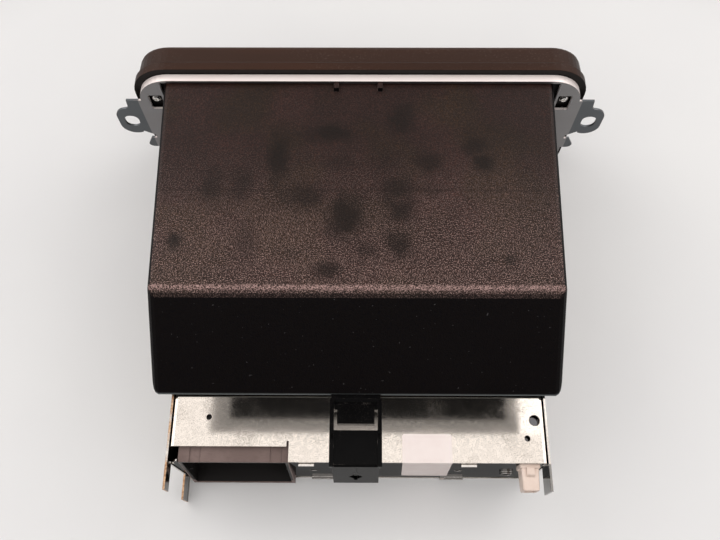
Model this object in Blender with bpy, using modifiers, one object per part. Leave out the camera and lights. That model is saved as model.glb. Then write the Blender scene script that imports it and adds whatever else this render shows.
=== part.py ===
"""Car radio with a storage pocket above its chassis, in metres, +Z up.

The control panel faces -Y and the connectors face +Y. The origin is the middle of the
bottom of its box. Every piece is one object, and a moving piece has its origin on its axis.
"""

import math

import bmesh
import bpy
from mathutils import Matrix, Vector
from mathutils.geometry import delaunay_2d_cdt

# Spacing and facets
GAP = 0.0003
BITE = 0.0005
OVERRUN = 0.002
WELD = 0.000001
FILL_WITH_HOLES = 5
FOLD_SIDE = -1
ROUND_STEPS = 20
CORNER_STEPS = 5

# Chassis: a one-unit car radio box of folded sheet
CHASSIS_WIDTH = 0.178
CHASSIS_HEIGHT = 0.050
CHASSIS_REACH = 0.1841
CHASSIS_LEAD = 0.0033
SHEET = 0.001
SHEET_BEND = 0.0018
PRONG_LENGTH = 0.0125
TOP_PRONG_HEIGHT = 0.0077
FOOT_PRONG_HEIGHT = 0.0108
LONE_PRONG_HEIGHT = 0.0145
BEND_SHARE = 0.3
COVER_FLANGE = 0.008
VENT_COUNT = 5
VENT_PITCH = 0.026
VENT_WIDTH = 0.004
VENT_LENGTH = 0.026

# Storage pocket
POCKET_LIFT = 0.0015
POCKET_HEIGHT = 0.0355
POCKET_BACK_INSET = 0.0291
POCKET_SLANT = 0.0413
POCKET_OVERHANG = 0.01095
POCKET_TAPER = 0.00425
POCKET_LEAN = 0.0017
POCKET_WALL = 0.002
POCKET_CORNER = 0.0034
POCKET_EDGE_SHARE = 0.4
POCKET_OFFSET = 0.0006
FLANGE_INSET = 0.0041
FLANGE_THICK = 0.0015
FLANGE_RISE = 0.0008
FLANGE_SET = 0.0012
FLANGE_CORNER_STEP = 0.0015
RIB_WIDTH = 0.0025
RIB_HEIGHT = 0.0022
RIB_LENGTH = 0.0048
RIB_CREST_SHARE = 0.8
RIB_SPACING = 0.0223

# Mounting frame
FRAME_BORDER = 0.01615
FRAME_RISE = 0.0024
FRAME_DEPTH = 0.0042
FRAME_CORNER = 0.0175
FRAME_SHEET = 0.0012
FRAME_PLAY = 0.0006
EAR_HOLE_OUT = 0.0096
EAR_HOLE_DROP = 0.0331
EAR_SLOT_WIDTH = 0.0078
EAR_SLOT_HEIGHT = 0.0096
EAR_HALF_WIDTH = 0.0074
EAR_HALF_HEIGHT = 0.0114
EAR_SHOULDER_OUT = 0.0085
EAR_SHOULDER_HEIGHT = 0.0058
EAR_SHOULDER_DROP = 0.0143
EAR_ROOT_OUT = 0.0061
EAR_ROOT_DROP = 0.0405
TAB_OUT = 0.0061
TAB_HEIGHT = 0.0090
TAB_CORNER = 0.003
WINDOW_WIDTH = 0.0071
WINDOW_HEIGHT = 0.0117
WINDOW_OUT = 0.00775
WINDOW_DROP = 0.0157
ARM_LENGTH = 0.034
ARM_HEIGHT = 0.030
ARM_CORNER = 0.006

# Bezel
BEZEL_OVERHANG = 0.0032
BEZEL_RISE = 0.0034
BEZEL_DROP = 0.004
BEZEL_DEPTH = 0.017
BEZEL_CORNER_STEP = 0.0025
BEZEL_RIM_DEPTH = 0.0045
BEZEL_STEP = 0.0012
BEZEL_DRAFT = 0.0006
BEZEL_WALL = 0.0026
BEZEL_FACE = 0.0025
BEZEL_EDGE = 0.0026
BEZEL_EDGE_STEPS = 3
BOSS_RADIUS = 0.0032
MOUTH_BORDER = 0.01245
MOUTH_INSET = 0.0045
MOUTH_CORNER = 0.006
MOUTH_LIP = 0.0014

# Control panel
PANEL_BORDER = 0.00855
PANEL_RISE = 0.0050
PANEL_DROP = 0.0062
PANEL_CORNER = 0.014
PANEL_THICK = 0.0025
PANEL_RECESS = 0.0006
POST_RADIUS = 0.0025
POST_OUT = 0.0085
POST_DROP = 0.0095
SLOT_HEIGHT = 0.0052
SLOT_LIP = 0.004
WINDOW_GLASS_WIDTH = 0.072
WINDOW_GLASS_ROOM = 0.0053
GLASS_CORNER = 0.0015
LENS_LIP = 0.0012
MODULE_BORDER = 0.0025

# Buttons
BUTTON_PROUD = 0.0016
BUTTON_TRAVEL = 0.0008
BUTTON_LIP = 0.0008
BUTTON_LIP_THICK = 0.001
BUTTON_EDGE = 0.0006
STEM_RADIUS = 0.0012
STEM_LENGTH = 0.0015
PRESET_COUNT = 6
PRESET_PITCH = 0.0172
PRESET_SIZE = (0.0150, 0.0085)
PRESET_RISE = 0.0080
SIDE_WIDTH = 0.0130
SIDE_OVERHANG = 0.00065
SIDE_ROOM = 0.0019
EJECT_SIZE = (0.0120, 0.0044)
EJECT_INBOARD = 0.0075
EJECT_GAP = 0.010
EJECT_DROP = 0.0041
SWITCH_GAP = 0.0031
SWITCH_HEIGHT = 0.0035
SWITCH_ROOM = 0.0003

# Knobs
KNOB_INSET = 0.02425
KNOB_RADIUS = 0.0130
KNOB_FLUTE = 0.0005
KNOB_FLUTE_COUNT = 20
KNOB_PROUD = 0.0105
KNOB_STANDOFF = 0.001
KNOB_EDGE = 0.0014
KNOB_DISH = 0.0006
KNOB_DISH_BORDER = 0.0028
KNOB_MARK_WIDTH = 0.0012
KNOB_MARK_LENGTH = 0.0045
KNOB_WALL = 0.002
SHAFT_RADIUS = 0.003
SHAFT_PLAY = 0.0002
COLLAR_RADIUS = 0.0045
COLLAR_THICK = 0.001
KNOB_PUSH = 0.0005
HOUSING_SIDE = 0.012
HOUSING_DEPTH = 0.004
HOUSING_BORE = 0.002

# Front board
BOARD_THICK = 0.0016
FRONT_BOARD_BORDER = 0.0005
FRONT_BOARD_RISE = 0.0035
LINK_WIDTH = 0.040
LINK_HEIGHT = 0.006
LINK_RISE = 0.015

# Screws
SCREW_RADIUS = 0.0012
SCREW_HEAD_RADIUS = 0.0024
SCREW_HEAD_HEIGHT = 0.0016
SCREW_LENGTH = 0.009
SCREW_CROSS = 0.0006
SCREW_CROSS_SHARE = 0.62
SCREW_CROSS_FLOOR_SHARE = 0.55
SCREW_CROWN_SHARE = 0.55
SCREW_CROWN_WIDTH_SHARE = 0.6
SCREW_TIP_SHARE = 0.4
SIDE_SCREW_RADIUS = 0.0015
SIDE_SCREW_HEAD_RADIUS = 0.003
SIDE_SCREW_LENGTH = 0.005
SIDE_SCREW_SHARES = (0.3, 0.78)
FRAME_SCREW_TURN = 68

# Pocket clip
CLIP_WIDTH = 0.0244
CLIP_OFFSET = 0.0010
CLIP_THICK = 0.002
CLIP_RIB_WIDTH = 0.0021
CLIP_RIB_HEIGHT = 0.0034
CLIP_RIB_END = 0.010
CLIP_TUCK = 0.014
CLIP_TUCK_THICK = 0.0009
CLIP_SLOT = 0.0015
CLIP_SLOT_SPAN = 0.0206
CLIP_SLOT_START = 0.0240
CLIP_SLOT_END = 0.0144
CLIP_BAR = 0.0030
CLIP_TAIL_HEIGHT = 0.026
CLIP_TAIL_FLARE = 0.0034
CLIP_TAIL_WIDTH = 0.0218
CLIP_HOLE_WIDTH = 0.0067
CLIP_HOLE_HEIGHT = 0.0110
CLIP_HOLE_DROP_SHARE = 0.58
CLIP_HOLE_NECK_SHARE = 0.6
CLIP_NICK = 0.0026

# Back wall of the chassis
BACK_INSET = 0.0004
CONNECTOR_WIDTH = 0.0516
CONNECTOR_INSET = 0.0052
CONNECTOR_RISE = 0.006
CONNECTOR_DROP = 0.0023
CONNECTOR_DEPTH = 0.024
CONNECTOR_LIP = 0.0035
CONNECTOR_WALL = 0.0016
CONNECTOR_CAVITY = 0.019
CONNECTOR_GROOVE = 0.0006
CONNECTOR_GROOVE_SHARES = ((0.06, 0.17), (0.80, 0.90))
CONNECTOR_KEY = 0.0012
COVER_NOTCH = 0.0071
COVER_SLIT = 0.0010
COVER_SLIT_LENGTH = 0.0026
BLADE_SIZE = (0.0022, 0.0008)
BLADE_LENGTH = 0.008
PIN_SIDE = 0.0008
PIN_LENGTH = 0.0075
BLADE_ROW_COUNT = 2
BLADE_COLUMN_COUNT = 4
PIN_ROW_COUNT = 3
PIN_COLUMN_COUNT = 8
COVER_HOLE_INSETS = ((0.0187, 0.0208), (0.0060, 0.0198), (0.0099, 0.0114))
COVER_HOLE_RADII = (0.00135, 0.0026, 0.0014)
COVER_HOLE_SIDES = (1, -1, -1)
TAB_LANCE_WIDTH = 0.0073
TAB_LANCE_REACH = 0.0018
TAB_LANCE_DROP = 0.0030
LANCE_TAB_INSETS = (0.0082, 0.0281)
BACK_HOLE_RADIUS = 0.0022
BACK_HOLE_INSETS = (0.0102, 0.0306)
BACK_HOLE_DROP = 0.0258
COLLAR_HOLE_INSET = 0.0062
COLLAR_HOLE_DROP = 0.0300
COLLAR_HOLE_RADIUS = 0.0026
COLLAR_WALL = 0.0008
COLLAR_REACH = 0.0013
BACK_FOOT_INSETS = (0.0142, 0.0318)
BACK_FOOT_WIDTH = 0.012
BACK_FOOT_REACH = 0.0014

# Antenna socket
ANTENNA_INSET = 0.0092
ANTENNA_WIDTH = 0.0085
ANTENNA_TIP_WIDTH = 0.0076
ANTENNA_HEIGHT = 0.0092
ANTENNA_DROP = 0.0024
ANTENNA_LENGTH = 0.0122
ANTENNA_COLLAR = 0.0005
ANTENNA_COLLAR_LENGTH = 0.0018
ANTENNA_WALL = 0.0012
ANTENNA_CAVITY = 0.0095
ANTENNA_PIN_RADIUS = 0.0005
ANTENNA_PIN_LENGTH = 0.003
LATCH_WIDTH = 0.0036
LATCH_LENGTH = 0.007
LATCH_HEIGHT = 0.0009
LATCH_CREST_SHARE = 0.75
TUNER_THICK = 0.012
TUNER_LENGTH = 0.042
TUNER_ROOM = 0.0022
TUNER_EDGE = 0.0006

# Main board and what stands on it
BOARD_SIDE_ROOM = 0.00175
BOARD_LIFT = 0.0030
BOARD_FRONT_INSET = 0.006
BOARD_BACK_INSET = 0.003
LEG_NOTCH = 0.013
STANDOFF_RADIUS = 0.003
STANDOFF_INSET = 0.01125
CAPACITOR_RADIUS = 0.008
CAPACITOR_HEIGHT = 0.025
CAPACITOR_GAP = 0.012
CAPACITOR_PITCH = 0.0175
CAPACITOR_COUNT = 2
CAPACITOR_INSET = 0.020
CAPACITOR_EDGE = 0.0008
CHIP_SIZE = (0.0200, 0.0045, 0.0140)
SPREADER_GAP = 0.0092
CHIP_LEG_COUNT = 9
CHIP_LEG = 0.0008
CHIP_LEG_LENGTH = 0.004
SPREADER_WIDTH = 0.030
SPREADER_HEIGHT = 0.034
SPREADER_BASE = 0.004
SPREADER_FIN = 0.0015
SPREADER_FIN_DEPTH = 0.006
SPREADER_FIN_COUNT = 5

# Disc deck
DECK_SIDE_ROOM = 0.009
DECK_BACK_INSET = 0.050
DECK_FRONT_INSET = 0.003
DECK_DEPTH = 0.0245
DECK_LEG_WIDTH = 0.009
DECK_HEAD_ROOM = 0.0045
DECK_BRIDGE_DEPTH = 0.008
DISC_HALF_THICK = 0.0006
ROLLER_SIDE_ROOM = 0.015
ROLLER_RADIUS = 0.0032
ROLLER_WAIST = 0.0024
ROLLER_SHAFT_RADIUS = 0.0012
ROLLER_INSET = 0.010
DISC_RADIUS = 0.060
DISC_ROOM = 0.0044
TURNTABLE_RADIUS = 0.0145
TURNTABLE_THICK = 0.0016
TURNTABLE_HUB_RADIUS = 0.0072
TURNTABLE_HUB_HEIGHT = 0.0012
TURNTABLE_CONE = 0.0012
MOTOR_RADIUS = 0.0125
MOTOR_HEIGHT = 0.0090
MOTOR_NECK_RADIUS = 0.006
MOTOR_NECK_HEIGHT = 0.003
SPINDLE_RADIUS = 0.001
SPINDLE_PLAY = 0.0002
SLED_LENGTH = 0.026
SLED_WIDTH = 0.036
SLED_THICK = 0.008
SLED_START = 0.0185
LENS_RADIUS = 0.0035
LENS_HEIGHT = 0.0012
ROD_RADIUS = 0.0015
ROD_PLAY = 0.0002
ROD_SPREAD = 0.012
LUG_WIDTH = 0.0015
LUG_HEIGHT_OVER_ROD = 0.003
FEED_MOTOR_RADIUS = 0.006
FEED_MOTOR_LENGTH = 0.020
FEED_MOTOR_SIDE_ROOM = 0.022
FEED_MOTOR_INSET = 0.030
ARM_PLATE = 0.001
ARM_WIDTH = 0.016
ARM_TAIL = 0.042
ARM_PIVOT_RADIUS = 0.0014
ARM_PIVOT_HALF = 0.018
ARM_BEARING_SHARE = 0.8
CLAMP_RADIUS = 0.012
CLAMP_THICK = 0.0014
CLAMP_PIN_RADIUS = 0.002
CLAMP_HEAD_RADIUS = 0.004
CLAMP_HEAD_HEIGHT = 0.0006

# Widths, outwards from the chassis
POCKET_FRONT_WIDTH = CHASSIS_WIDTH + 2 * POCKET_OVERHANG
FRAME_WIDTH = POCKET_FRONT_WIDTH + 2 * FRAME_BORDER
FLANGE_WIDTH = FRAME_WIDTH - 2 * FLANGE_INSET
BEZEL_WIDTH = FRAME_WIDTH + 2 * BEZEL_OVERHANG
PANEL_WIDTH = BEZEL_WIDTH - 2 * PANEL_BORDER
MOUTH_WIDTH = POCKET_FRONT_WIDTH - 2 * MOUTH_BORDER
DECK_WIDTH = CHASSIS_WIDTH - 2 * DECK_SIDE_ROOM
BOARD_WIDTH = CHASSIS_WIDTH - 2 * BOARD_SIDE_ROOM
FLANGE_CORNER = FRAME_CORNER - FLANGE_CORNER_STEP
BEZEL_CORNER = FRAME_CORNER + BEZEL_CORNER_STEP

# Levels, upwards from the bottom edge of the bezel
CHASSIS_BOTTOM = BEZEL_DROP
CHASSIS_TOP = CHASSIS_BOTTOM + CHASSIS_HEIGHT
POCKET_BOTTOM = CHASSIS_TOP + POCKET_LIFT
POCKET_TOP = POCKET_BOTTOM + POCKET_HEIGHT
FRAME_TOP = POCKET_TOP + FRAME_RISE
FRAME_BOTTOM = CHASSIS_BOTTOM - FRAME_RISE
BEZEL_TOP = FRAME_TOP + BEZEL_RISE
MOUTH_BOTTOM = POCKET_BOTTOM + POCKET_WALL + MOUTH_INSET
MOUTH_TOP = POCKET_TOP - POCKET_WALL - MOUTH_LIP
EAR_HOLE_Z = POCKET_TOP - EAR_HOLE_DROP
SCREW_Z = POCKET_TOP - WINDOW_DROP + SCREW_HEAD_HEIGHT
PANEL_BOTTOM = PANEL_RISE
PANEL_TOP = CHASSIS_TOP - PANEL_DROP
SLOT_BOTTOM = PANEL_TOP + GAP - SLOT_HEIGHT
PRESET_Z = PANEL_BOTTOM + PRESET_RISE
PRESET_TOP = PRESET_Z + PRESET_SIZE[1] / 2
WINDOW_GLASS_HEIGHT = SLOT_BOTTOM - PRESET_TOP - 2 * WINDOW_GLASS_ROOM
GLASS_Z = (SLOT_BOTTOM + PRESET_TOP) / 2
SIDE_PITCH = (WINDOW_GLASS_HEIGHT + 2 * SIDE_OVERHANG + SIDE_ROOM) / 2
SIDE_SIZE = (SIDE_WIDTH, SIDE_PITCH - SIDE_ROOM)
SWITCH_SIDE = SIDE_PITCH - SWITCH_GAP
EJECT_Z = PANEL_TOP - EJECT_DROP
KNOB_Z = (PANEL_BOTTOM + EJECT_Z - EJECT_SIZE[1] / 2) / 2
FRONT_BOARD_BOTTOM = PANEL_BOTTOM + FRONT_BOARD_RISE
LINK_Z = PANEL_BOTTOM + LINK_RISE
DISC_Z = SLOT_BOTTOM + SLOT_HEIGHT / 2
TRAY_FLOOR = CHASSIS_BOTTOM + SHEET
BOARD_BOTTOM = TRAY_FLOOR + BOARD_LIFT
BOARD_TOP = BOARD_BOTTOM + BOARD_THICK
CONNECTOR_BOTTOM = CHASSIS_BOTTOM + CONNECTOR_RISE
CONNECTOR_TOP = CHASSIS_TOP - CONNECTOR_DROP
DECK_CEILING = DISC_Z + DECK_HEAD_ROOM
DECK_FLOOR_Z = DISC_Z - DECK_DEPTH

# Stations, backwards from the face of the knobs
TOTAL_DEPTH = KNOB_PROUD + BEZEL_DEPTH + GAP + FRAME_DEPTH + CHASSIS_REACH + PRONG_LENGTH
BEZEL_FRONT = KNOB_PROUD - TOTAL_DEPTH / 2
BEZEL_BACK = BEZEL_FRONT + BEZEL_DEPTH
FRAME_FRONT = BEZEL_BACK + GAP
FRAME_BACK = FRAME_FRONT + FRAME_DEPTH
CHASSIS_FRONT = FRAME_BACK - CHASSIS_LEAD
CHASSIS_BACK = FRAME_BACK + CHASSIS_REACH
POCKET_FLOOR_LENGTH = CHASSIS_REACH - POCKET_BACK_INSET
POCKET_TOP_LENGTH = POCKET_FLOOR_LENGTH - POCKET_SLANT
PANEL_FRONT = BEZEL_FRONT + PANEL_RECESS
PANEL_BACK = PANEL_FRONT + PANEL_THICK
LIP_FRONT = PANEL_BACK + GAP
BOARD_FRONT = (LIP_FRONT + BUTTON_LIP_THICK + STEM_LENGTH + BUTTON_TRAVEL + SWITCH_ROOM
               + SWITCH_HEIGHT)
BOARD_BACK = BOARD_FRONT + BOARD_THICK
POCKET_FRONT = BEZEL_FRONT + BEZEL_FACE + GAP
FLANGE_BACK = FRAME_BACK - FRAME_SHEET - FLANGE_SET
FLANGE_FRONT = FLANGE_BACK - FLANGE_THICK
BACK_FACE = CHASSIS_BACK - BACK_INSET
DECK_FRONT = CHASSIS_FRONT + DECK_FRONT_INSET
DECK_BACK = CHASSIS_BACK - DECK_BACK_INSET
SPINDLE_Y = DECK_BACK - DISC_RADIUS - DISC_ROOM

# Places to the side of the middle
KNOB_REACH = PANEL_WIDTH / 2 - KNOB_INSET
SIDE_REACH = (WINDOW_GLASS_WIDTH / 2 + KNOB_REACH - KNOB_RADIUS) / 2
EJECT_X = KNOB_REACH - EJECT_INBOARD
SLOT_WIDTH = 2 * (EJECT_X - EJECT_SIZE[0] / 2 - EJECT_GAP)
POST_REACH = KNOB_REACH + POST_OUT
EAR_HOLE_REACH = FRAME_WIDTH / 2 + EAR_HOLE_OUT
EAR_SHOULDER_REACH = FRAME_WIDTH / 2 + EAR_SHOULDER_OUT
EAR_ROOT_REACH = FRAME_WIDTH / 2 + EAR_ROOT_OUT
TAB_REACH = FRAME_WIDTH / 2 + TAB_OUT
WINDOW_REACH = POCKET_FRONT_WIDTH / 2 + WINDOW_OUT
CONNECTOR_HIGH_X = CHASSIS_WIDTH / 2 - CONNECTOR_INSET
CONNECTOR_LOW_X = CONNECTOR_HIGH_X - CONNECTOR_WIDTH
ANTENNA_X = ANTENNA_INSET - CHASSIS_WIDTH / 2
CHIP_X = CONNECTOR_LOW_X - SPREADER_GAP - SPREADER_WIDTH / 2
FEED_MOTOR_X = FEED_MOTOR_SIDE_ROOM - DECK_WIDTH / 2

# The low bosses stand in the bezel's bottom corners, against the inside of the round wall
BOSS_SWING = (BEZEL_CORNER - BEZEL_STEP - BEZEL_DRAFT - BEZEL_WALL) - BOSS_RADIUS + BITE
FRAME_SCREW_REACH = (BEZEL_WIDTH / 2 - BEZEL_CORNER
                     + BOSS_SWING * math.cos(math.radians(FRAME_SCREW_TURN)))
FRAME_SCREW_Z = BEZEL_CORNER - BOSS_SWING * math.sin(math.radians(FRAME_SCREW_TURN))

# Which way a flat outline's two axes and its depth run in each plane
PLANES = {
    "top": Matrix.Identity(4),
    "front": Matrix.Rotation(math.radians(90), 4, "X"),
    "side": Matrix(((0, 0, 1, 0), (1, 0, 0, 0), (0, 1, 0, 0), (0, 0, 0, 1))),
}
NORMALS = {"top": Vector((0, 0, 1)), "front": Vector((0, 1, 0)), "side": Vector((1, 0, 0))}
UP = NORMALS["top"]
BACKWARD = NORMALS["front"]
SIDEWAYS = NORMALS["side"]


def make_material(name, colour, roughness, metallic=0.0):
    material = bpy.data.materials.new(name)
    material.use_nodes = True
    shader = material.node_tree.nodes["Principled BSDF"]
    shader.inputs["Base Color"].default_value = (*colour, 1.0)
    shader.inputs["Roughness"].default_value = roughness
    shader.inputs["Metallic"].default_value = metallic
    return material


def place(name, mesh, material):
    """Put a mesh in the scene, as a part when it has a material and as a tool when it has none."""
    mesh.name = name
    mesh.shade_smooth()
    mesh.set_sharp_from_angle(angle=math.radians(35))
    obj = bpy.data.objects.new(name, mesh)
    if material is None:
        TOOLS.objects.link(obj)
        obj.hide_render = True
        obj.display_type = "WIRE"
    else:
        PARTS.objects.link(obj)
        mesh.materials.append(MATERIALS[material])
    obj.parent = HOME
    return obj


def block(name, low, high, material=None):
    """A box between two corners, with its origin in its middle."""
    shape = bmesh.new()
    bmesh.ops.create_cube(shape, size=1)
    bmesh.ops.scale(shape, vec=Vector(high) - Vector(low), verts=shape.verts)
    mesh = bpy.data.meshes.new(name)
    shape.to_mesh(mesh)
    shape.free()
    obj = place(name, mesh, material)
    obj.location = (Vector(low) + Vector(high)) / 2
    return obj


def rod(name, start, axis, length, radius, material=None, tip=None, steps=ROUND_STEPS):
    """A cylinder, or a cone with another radius at its tip, from start along an axis."""
    shape = bmesh.new()
    bmesh.ops.create_cone(shape, cap_ends=True, segments=steps, radius1=radius,
                          radius2=radius if tip is None else tip, depth=length)
    bmesh.ops.translate(shape, vec=UP * length / 2, verts=shape.verts)
    mesh = bpy.data.meshes.new(name)
    shape.to_mesh(mesh)
    shape.free()
    obj = place(name, mesh, material)
    obj.location = start
    obj.rotation_euler = UP.rotation_difference(axis).to_euler()
    return obj


def plate(name, plane, loops, low, high, material=None):
    """Flat outlines, the first round the others as its holes, filled and given a thickness."""
    points, borders = [], []
    for loop in loops:
        turn = sum(a[0] * b[1] - b[0] * a[1] for a, b in zip(loop, loop[1:] + loop[:1]))
        borders.append(list(range(len(points), len(points) + len(loop))))
        points += [Vector(point) for point in (loop if turn > 0 else reversed(loop))]
    flat, rim, faces, *_ = delaunay_2d_cdt(points, [], borders, FILL_WITH_HOLES, WELD)
    shape = bmesh.new()
    half = (high - low) / 2
    under, over = [[shape.verts.new((x, y, z)) for x, y in flat] for z in (-half, half)]
    used = {}
    for face in faces:
        shape.faces.new([under[i] for i in face])
        shape.faces.new([over[i] for i in face])
        for i, j in zip(face, face[1:] + face[:1]):
            used[frozenset((i, j))] = used.get(frozenset((i, j)), 0) + 1
    for i, j in rim:
        if used.get(frozenset((i, j))) == 1:
            shape.faces.new((under[i], under[j], over[j], over[i]))
    bmesh.ops.recalc_face_normals(shape, faces=shape.faces)
    mesh = bpy.data.meshes.new(name)
    shape.to_mesh(mesh)
    shape.free()
    obj = place(name, mesh, material)
    obj.location = NORMALS[plane] * (low + high) / 2
    obj.rotation_euler = PLANES[plane].to_euler()
    return obj


def folded(name, profile, low, high, thickness, material):
    """Sheet folded along Y: an open profile in X and Z drawn out, and thickened to its left."""
    shape = bmesh.new()
    points = [shape.verts.new((x, low, z)) for x, z in profile]
    edges = [shape.edges.new(pair) for pair in zip(points, points[1:])]
    drawn = bmesh.ops.extrude_edge_only(shape, edges=edges)["geom"]
    moved = [item for item in drawn if isinstance(item, bmesh.types.BMVert)]
    bmesh.ops.translate(shape, vec=BACKWARD * (high - low), verts=moved)
    mesh = bpy.data.meshes.new(name)
    shape.to_mesh(mesh)
    shape.free()
    obj = place(name, mesh, material)
    wall = obj.modifiers.new("Sheet", "SOLIDIFY")
    wall.thickness = thickness
    wall.offset = FOLD_SIDE
    wall.use_even_offset = True
    return obj


def loft(name, rings, material=None):
    """A closed solid through rings of points that all have the same count."""
    shape = bmesh.new()
    loops = [[shape.verts.new(point) for point in ring] for ring in rings]
    for first, second in zip(loops, loops[1:]):
        for i in range(len(first)):
            shape.faces.new((first[i - 1], first[i], second[i], second[i - 1]))
    shape.faces.new(loops[0])
    shape.faces.new(loops[-1])
    bmesh.ops.recalc_face_normals(shape, faces=shape.faces)
    mesh = bpy.data.meshes.new(name)
    shape.to_mesh(mesh)
    shape.free()
    return place(name, mesh, material)


def turned(name, profile, start, axis, material=None, steps=ROUND_STEPS):
    """A solid of revolution: (radius, height) points from the top down, turned round an axis."""
    mesh = bpy.data.meshes.new(name)
    points = [(radius, 0, height) for radius, height in profile]
    mesh.from_pydata(points, [(i, i + 1) for i in range(len(points) - 1)], [])
    obj = place(name, mesh, material)
    screw = obj.modifiers.new("Turn", "SCREW")
    screw.steps = screw.render_steps = steps
    screw.use_merge_vertices = True
    screw.merge_threshold = WELD
    obj.location = start
    obj.rotation_euler = UP.rotation_difference(axis).to_euler()
    return obj


def gather(name, pieces):
    """Several tools that don't touch, made one tool, so that one Boolean uses them all."""
    bpy.context.view_layer.update()
    graph = bpy.context.evaluated_depsgraph_get()
    shape = bmesh.new()
    for piece in pieces:
        mesh = bpy.data.meshes.new_from_object(piece.evaluated_get(graph))
        mesh.transform(piece.matrix_world)
        shape.from_mesh(mesh)
        bpy.data.meshes.remove(mesh)
        bpy.data.objects.remove(piece)
    mesh = bpy.data.meshes.new(name)
    shape.to_mesh(mesh)
    shape.free()
    return place(name, mesh, None)


def boolean(obj, operation, tools):
    for tool in tools:
        modifier = obj.modifiers.new(tool.name, "BOOLEAN")
        modifier.operation = operation
        modifier.object = tool


def cut(obj, *tools):
    boolean(obj, "DIFFERENCE", tools)


def join(obj, *tools):
    boolean(obj, "UNION", tools)


def soften(obj, width, segments=2):
    edges = obj.modifiers.new("Edges", "BEVEL")
    edges.width = width
    edges.segments = segments
    edges.limit_method = "ANGLE"


def arc(centre, radius, start, end, steps=CORNER_STEPS):
    """Points along an arc between two angles in degrees."""
    angles = [math.radians(start + (end - start) * i / steps) for i in range(steps + 1)]
    return [(centre[0] + radius * math.cos(a), centre[1] + radius * math.sin(a)) for a in angles]


def rounded(low, high, radius, steps=CORNER_STEPS):
    """A rectangle with round corners, anticlockwise."""
    left, right = low[0] + radius, high[0] - radius
    bottom, top = low[1] + radius, high[1] - radius
    return (arc((right, top), radius, 0, 90, steps) + arc((left, top), radius, 90, 180, steps)
            + arc((left, bottom), radius, 180, 270, steps)
            + arc((right, bottom), radius, 270, 360, steps))


def around(centre, size, radius, steps=CORNER_STEPS):
    """A rounded rectangle given by its centre and its size."""
    half = (size[0] / 2, size[1] / 2)
    return rounded((centre[0] - half[0], centre[1] - half[1]),
                   (centre[0] + half[0], centre[1] + half[1]), radius, steps)


def rectangle(low, high):
    return [(low[0], low[1]), (high[0], low[1]), (high[0], high[1]), (low[0], high[1])]


def mirrored(points):
    """The same outline across the middle plane, walked the other way."""
    return [(-x, z) for x, z in reversed(points)]


def make_screw(name, seat, axis, radius, head_radius, length):
    """A pan-head screw: its head stands on the seat and its shank runs back along the axis."""
    head = SCREW_HEAD_HEIGHT
    crown = head * SCREW_CROWN_SHARE
    profile = [(0, head), (head_radius * SCREW_CROWN_WIDTH_SHARE, head), (head_radius, crown),
               (head_radius, 0), (radius, 0), (radius, -length + radius),
               (radius * SCREW_TIP_SHARE, -length), (0, -length)]
    screw = turned(name, profile, seat, axis, "zinc", steps=12)
    arms = []
    for turn in (0, 1):
        wide, slim = head_radius * SCREW_CROSS_SHARE, SCREW_CROSS / 2
        half = (wide, slim) if turn else (slim, wide)
        arm = block(f"{name}_cross_{turn}", (-half[0], -half[1], head * SCREW_CROSS_FLOOR_SHARE),
                    (half[0], half[1], head + OVERRUN))
        arms.append(arm)
    join(arms[0], arms[1])
    turn = UP.rotation_difference(axis).to_matrix().to_4x4()
    for arm in arms:
        arm.matrix_world = Matrix.Translation(seat) @ turn @ Matrix.Translation(arm.location)
    cut(screw, arms[0])
    return screw


def pocket_half_width(y, z):
    """Half the pocket's outer width: its sides draw in towards the back and lean out downwards."""
    draft = POCKET_TAPER / POCKET_TOP_LENGTH
    lean = POCKET_LEAN / POCKET_HEIGHT
    return POCKET_FRONT_WIDTH / 2 - draft * (y - FRAME_BACK) + lean * (POCKET_TOP - z)


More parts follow.
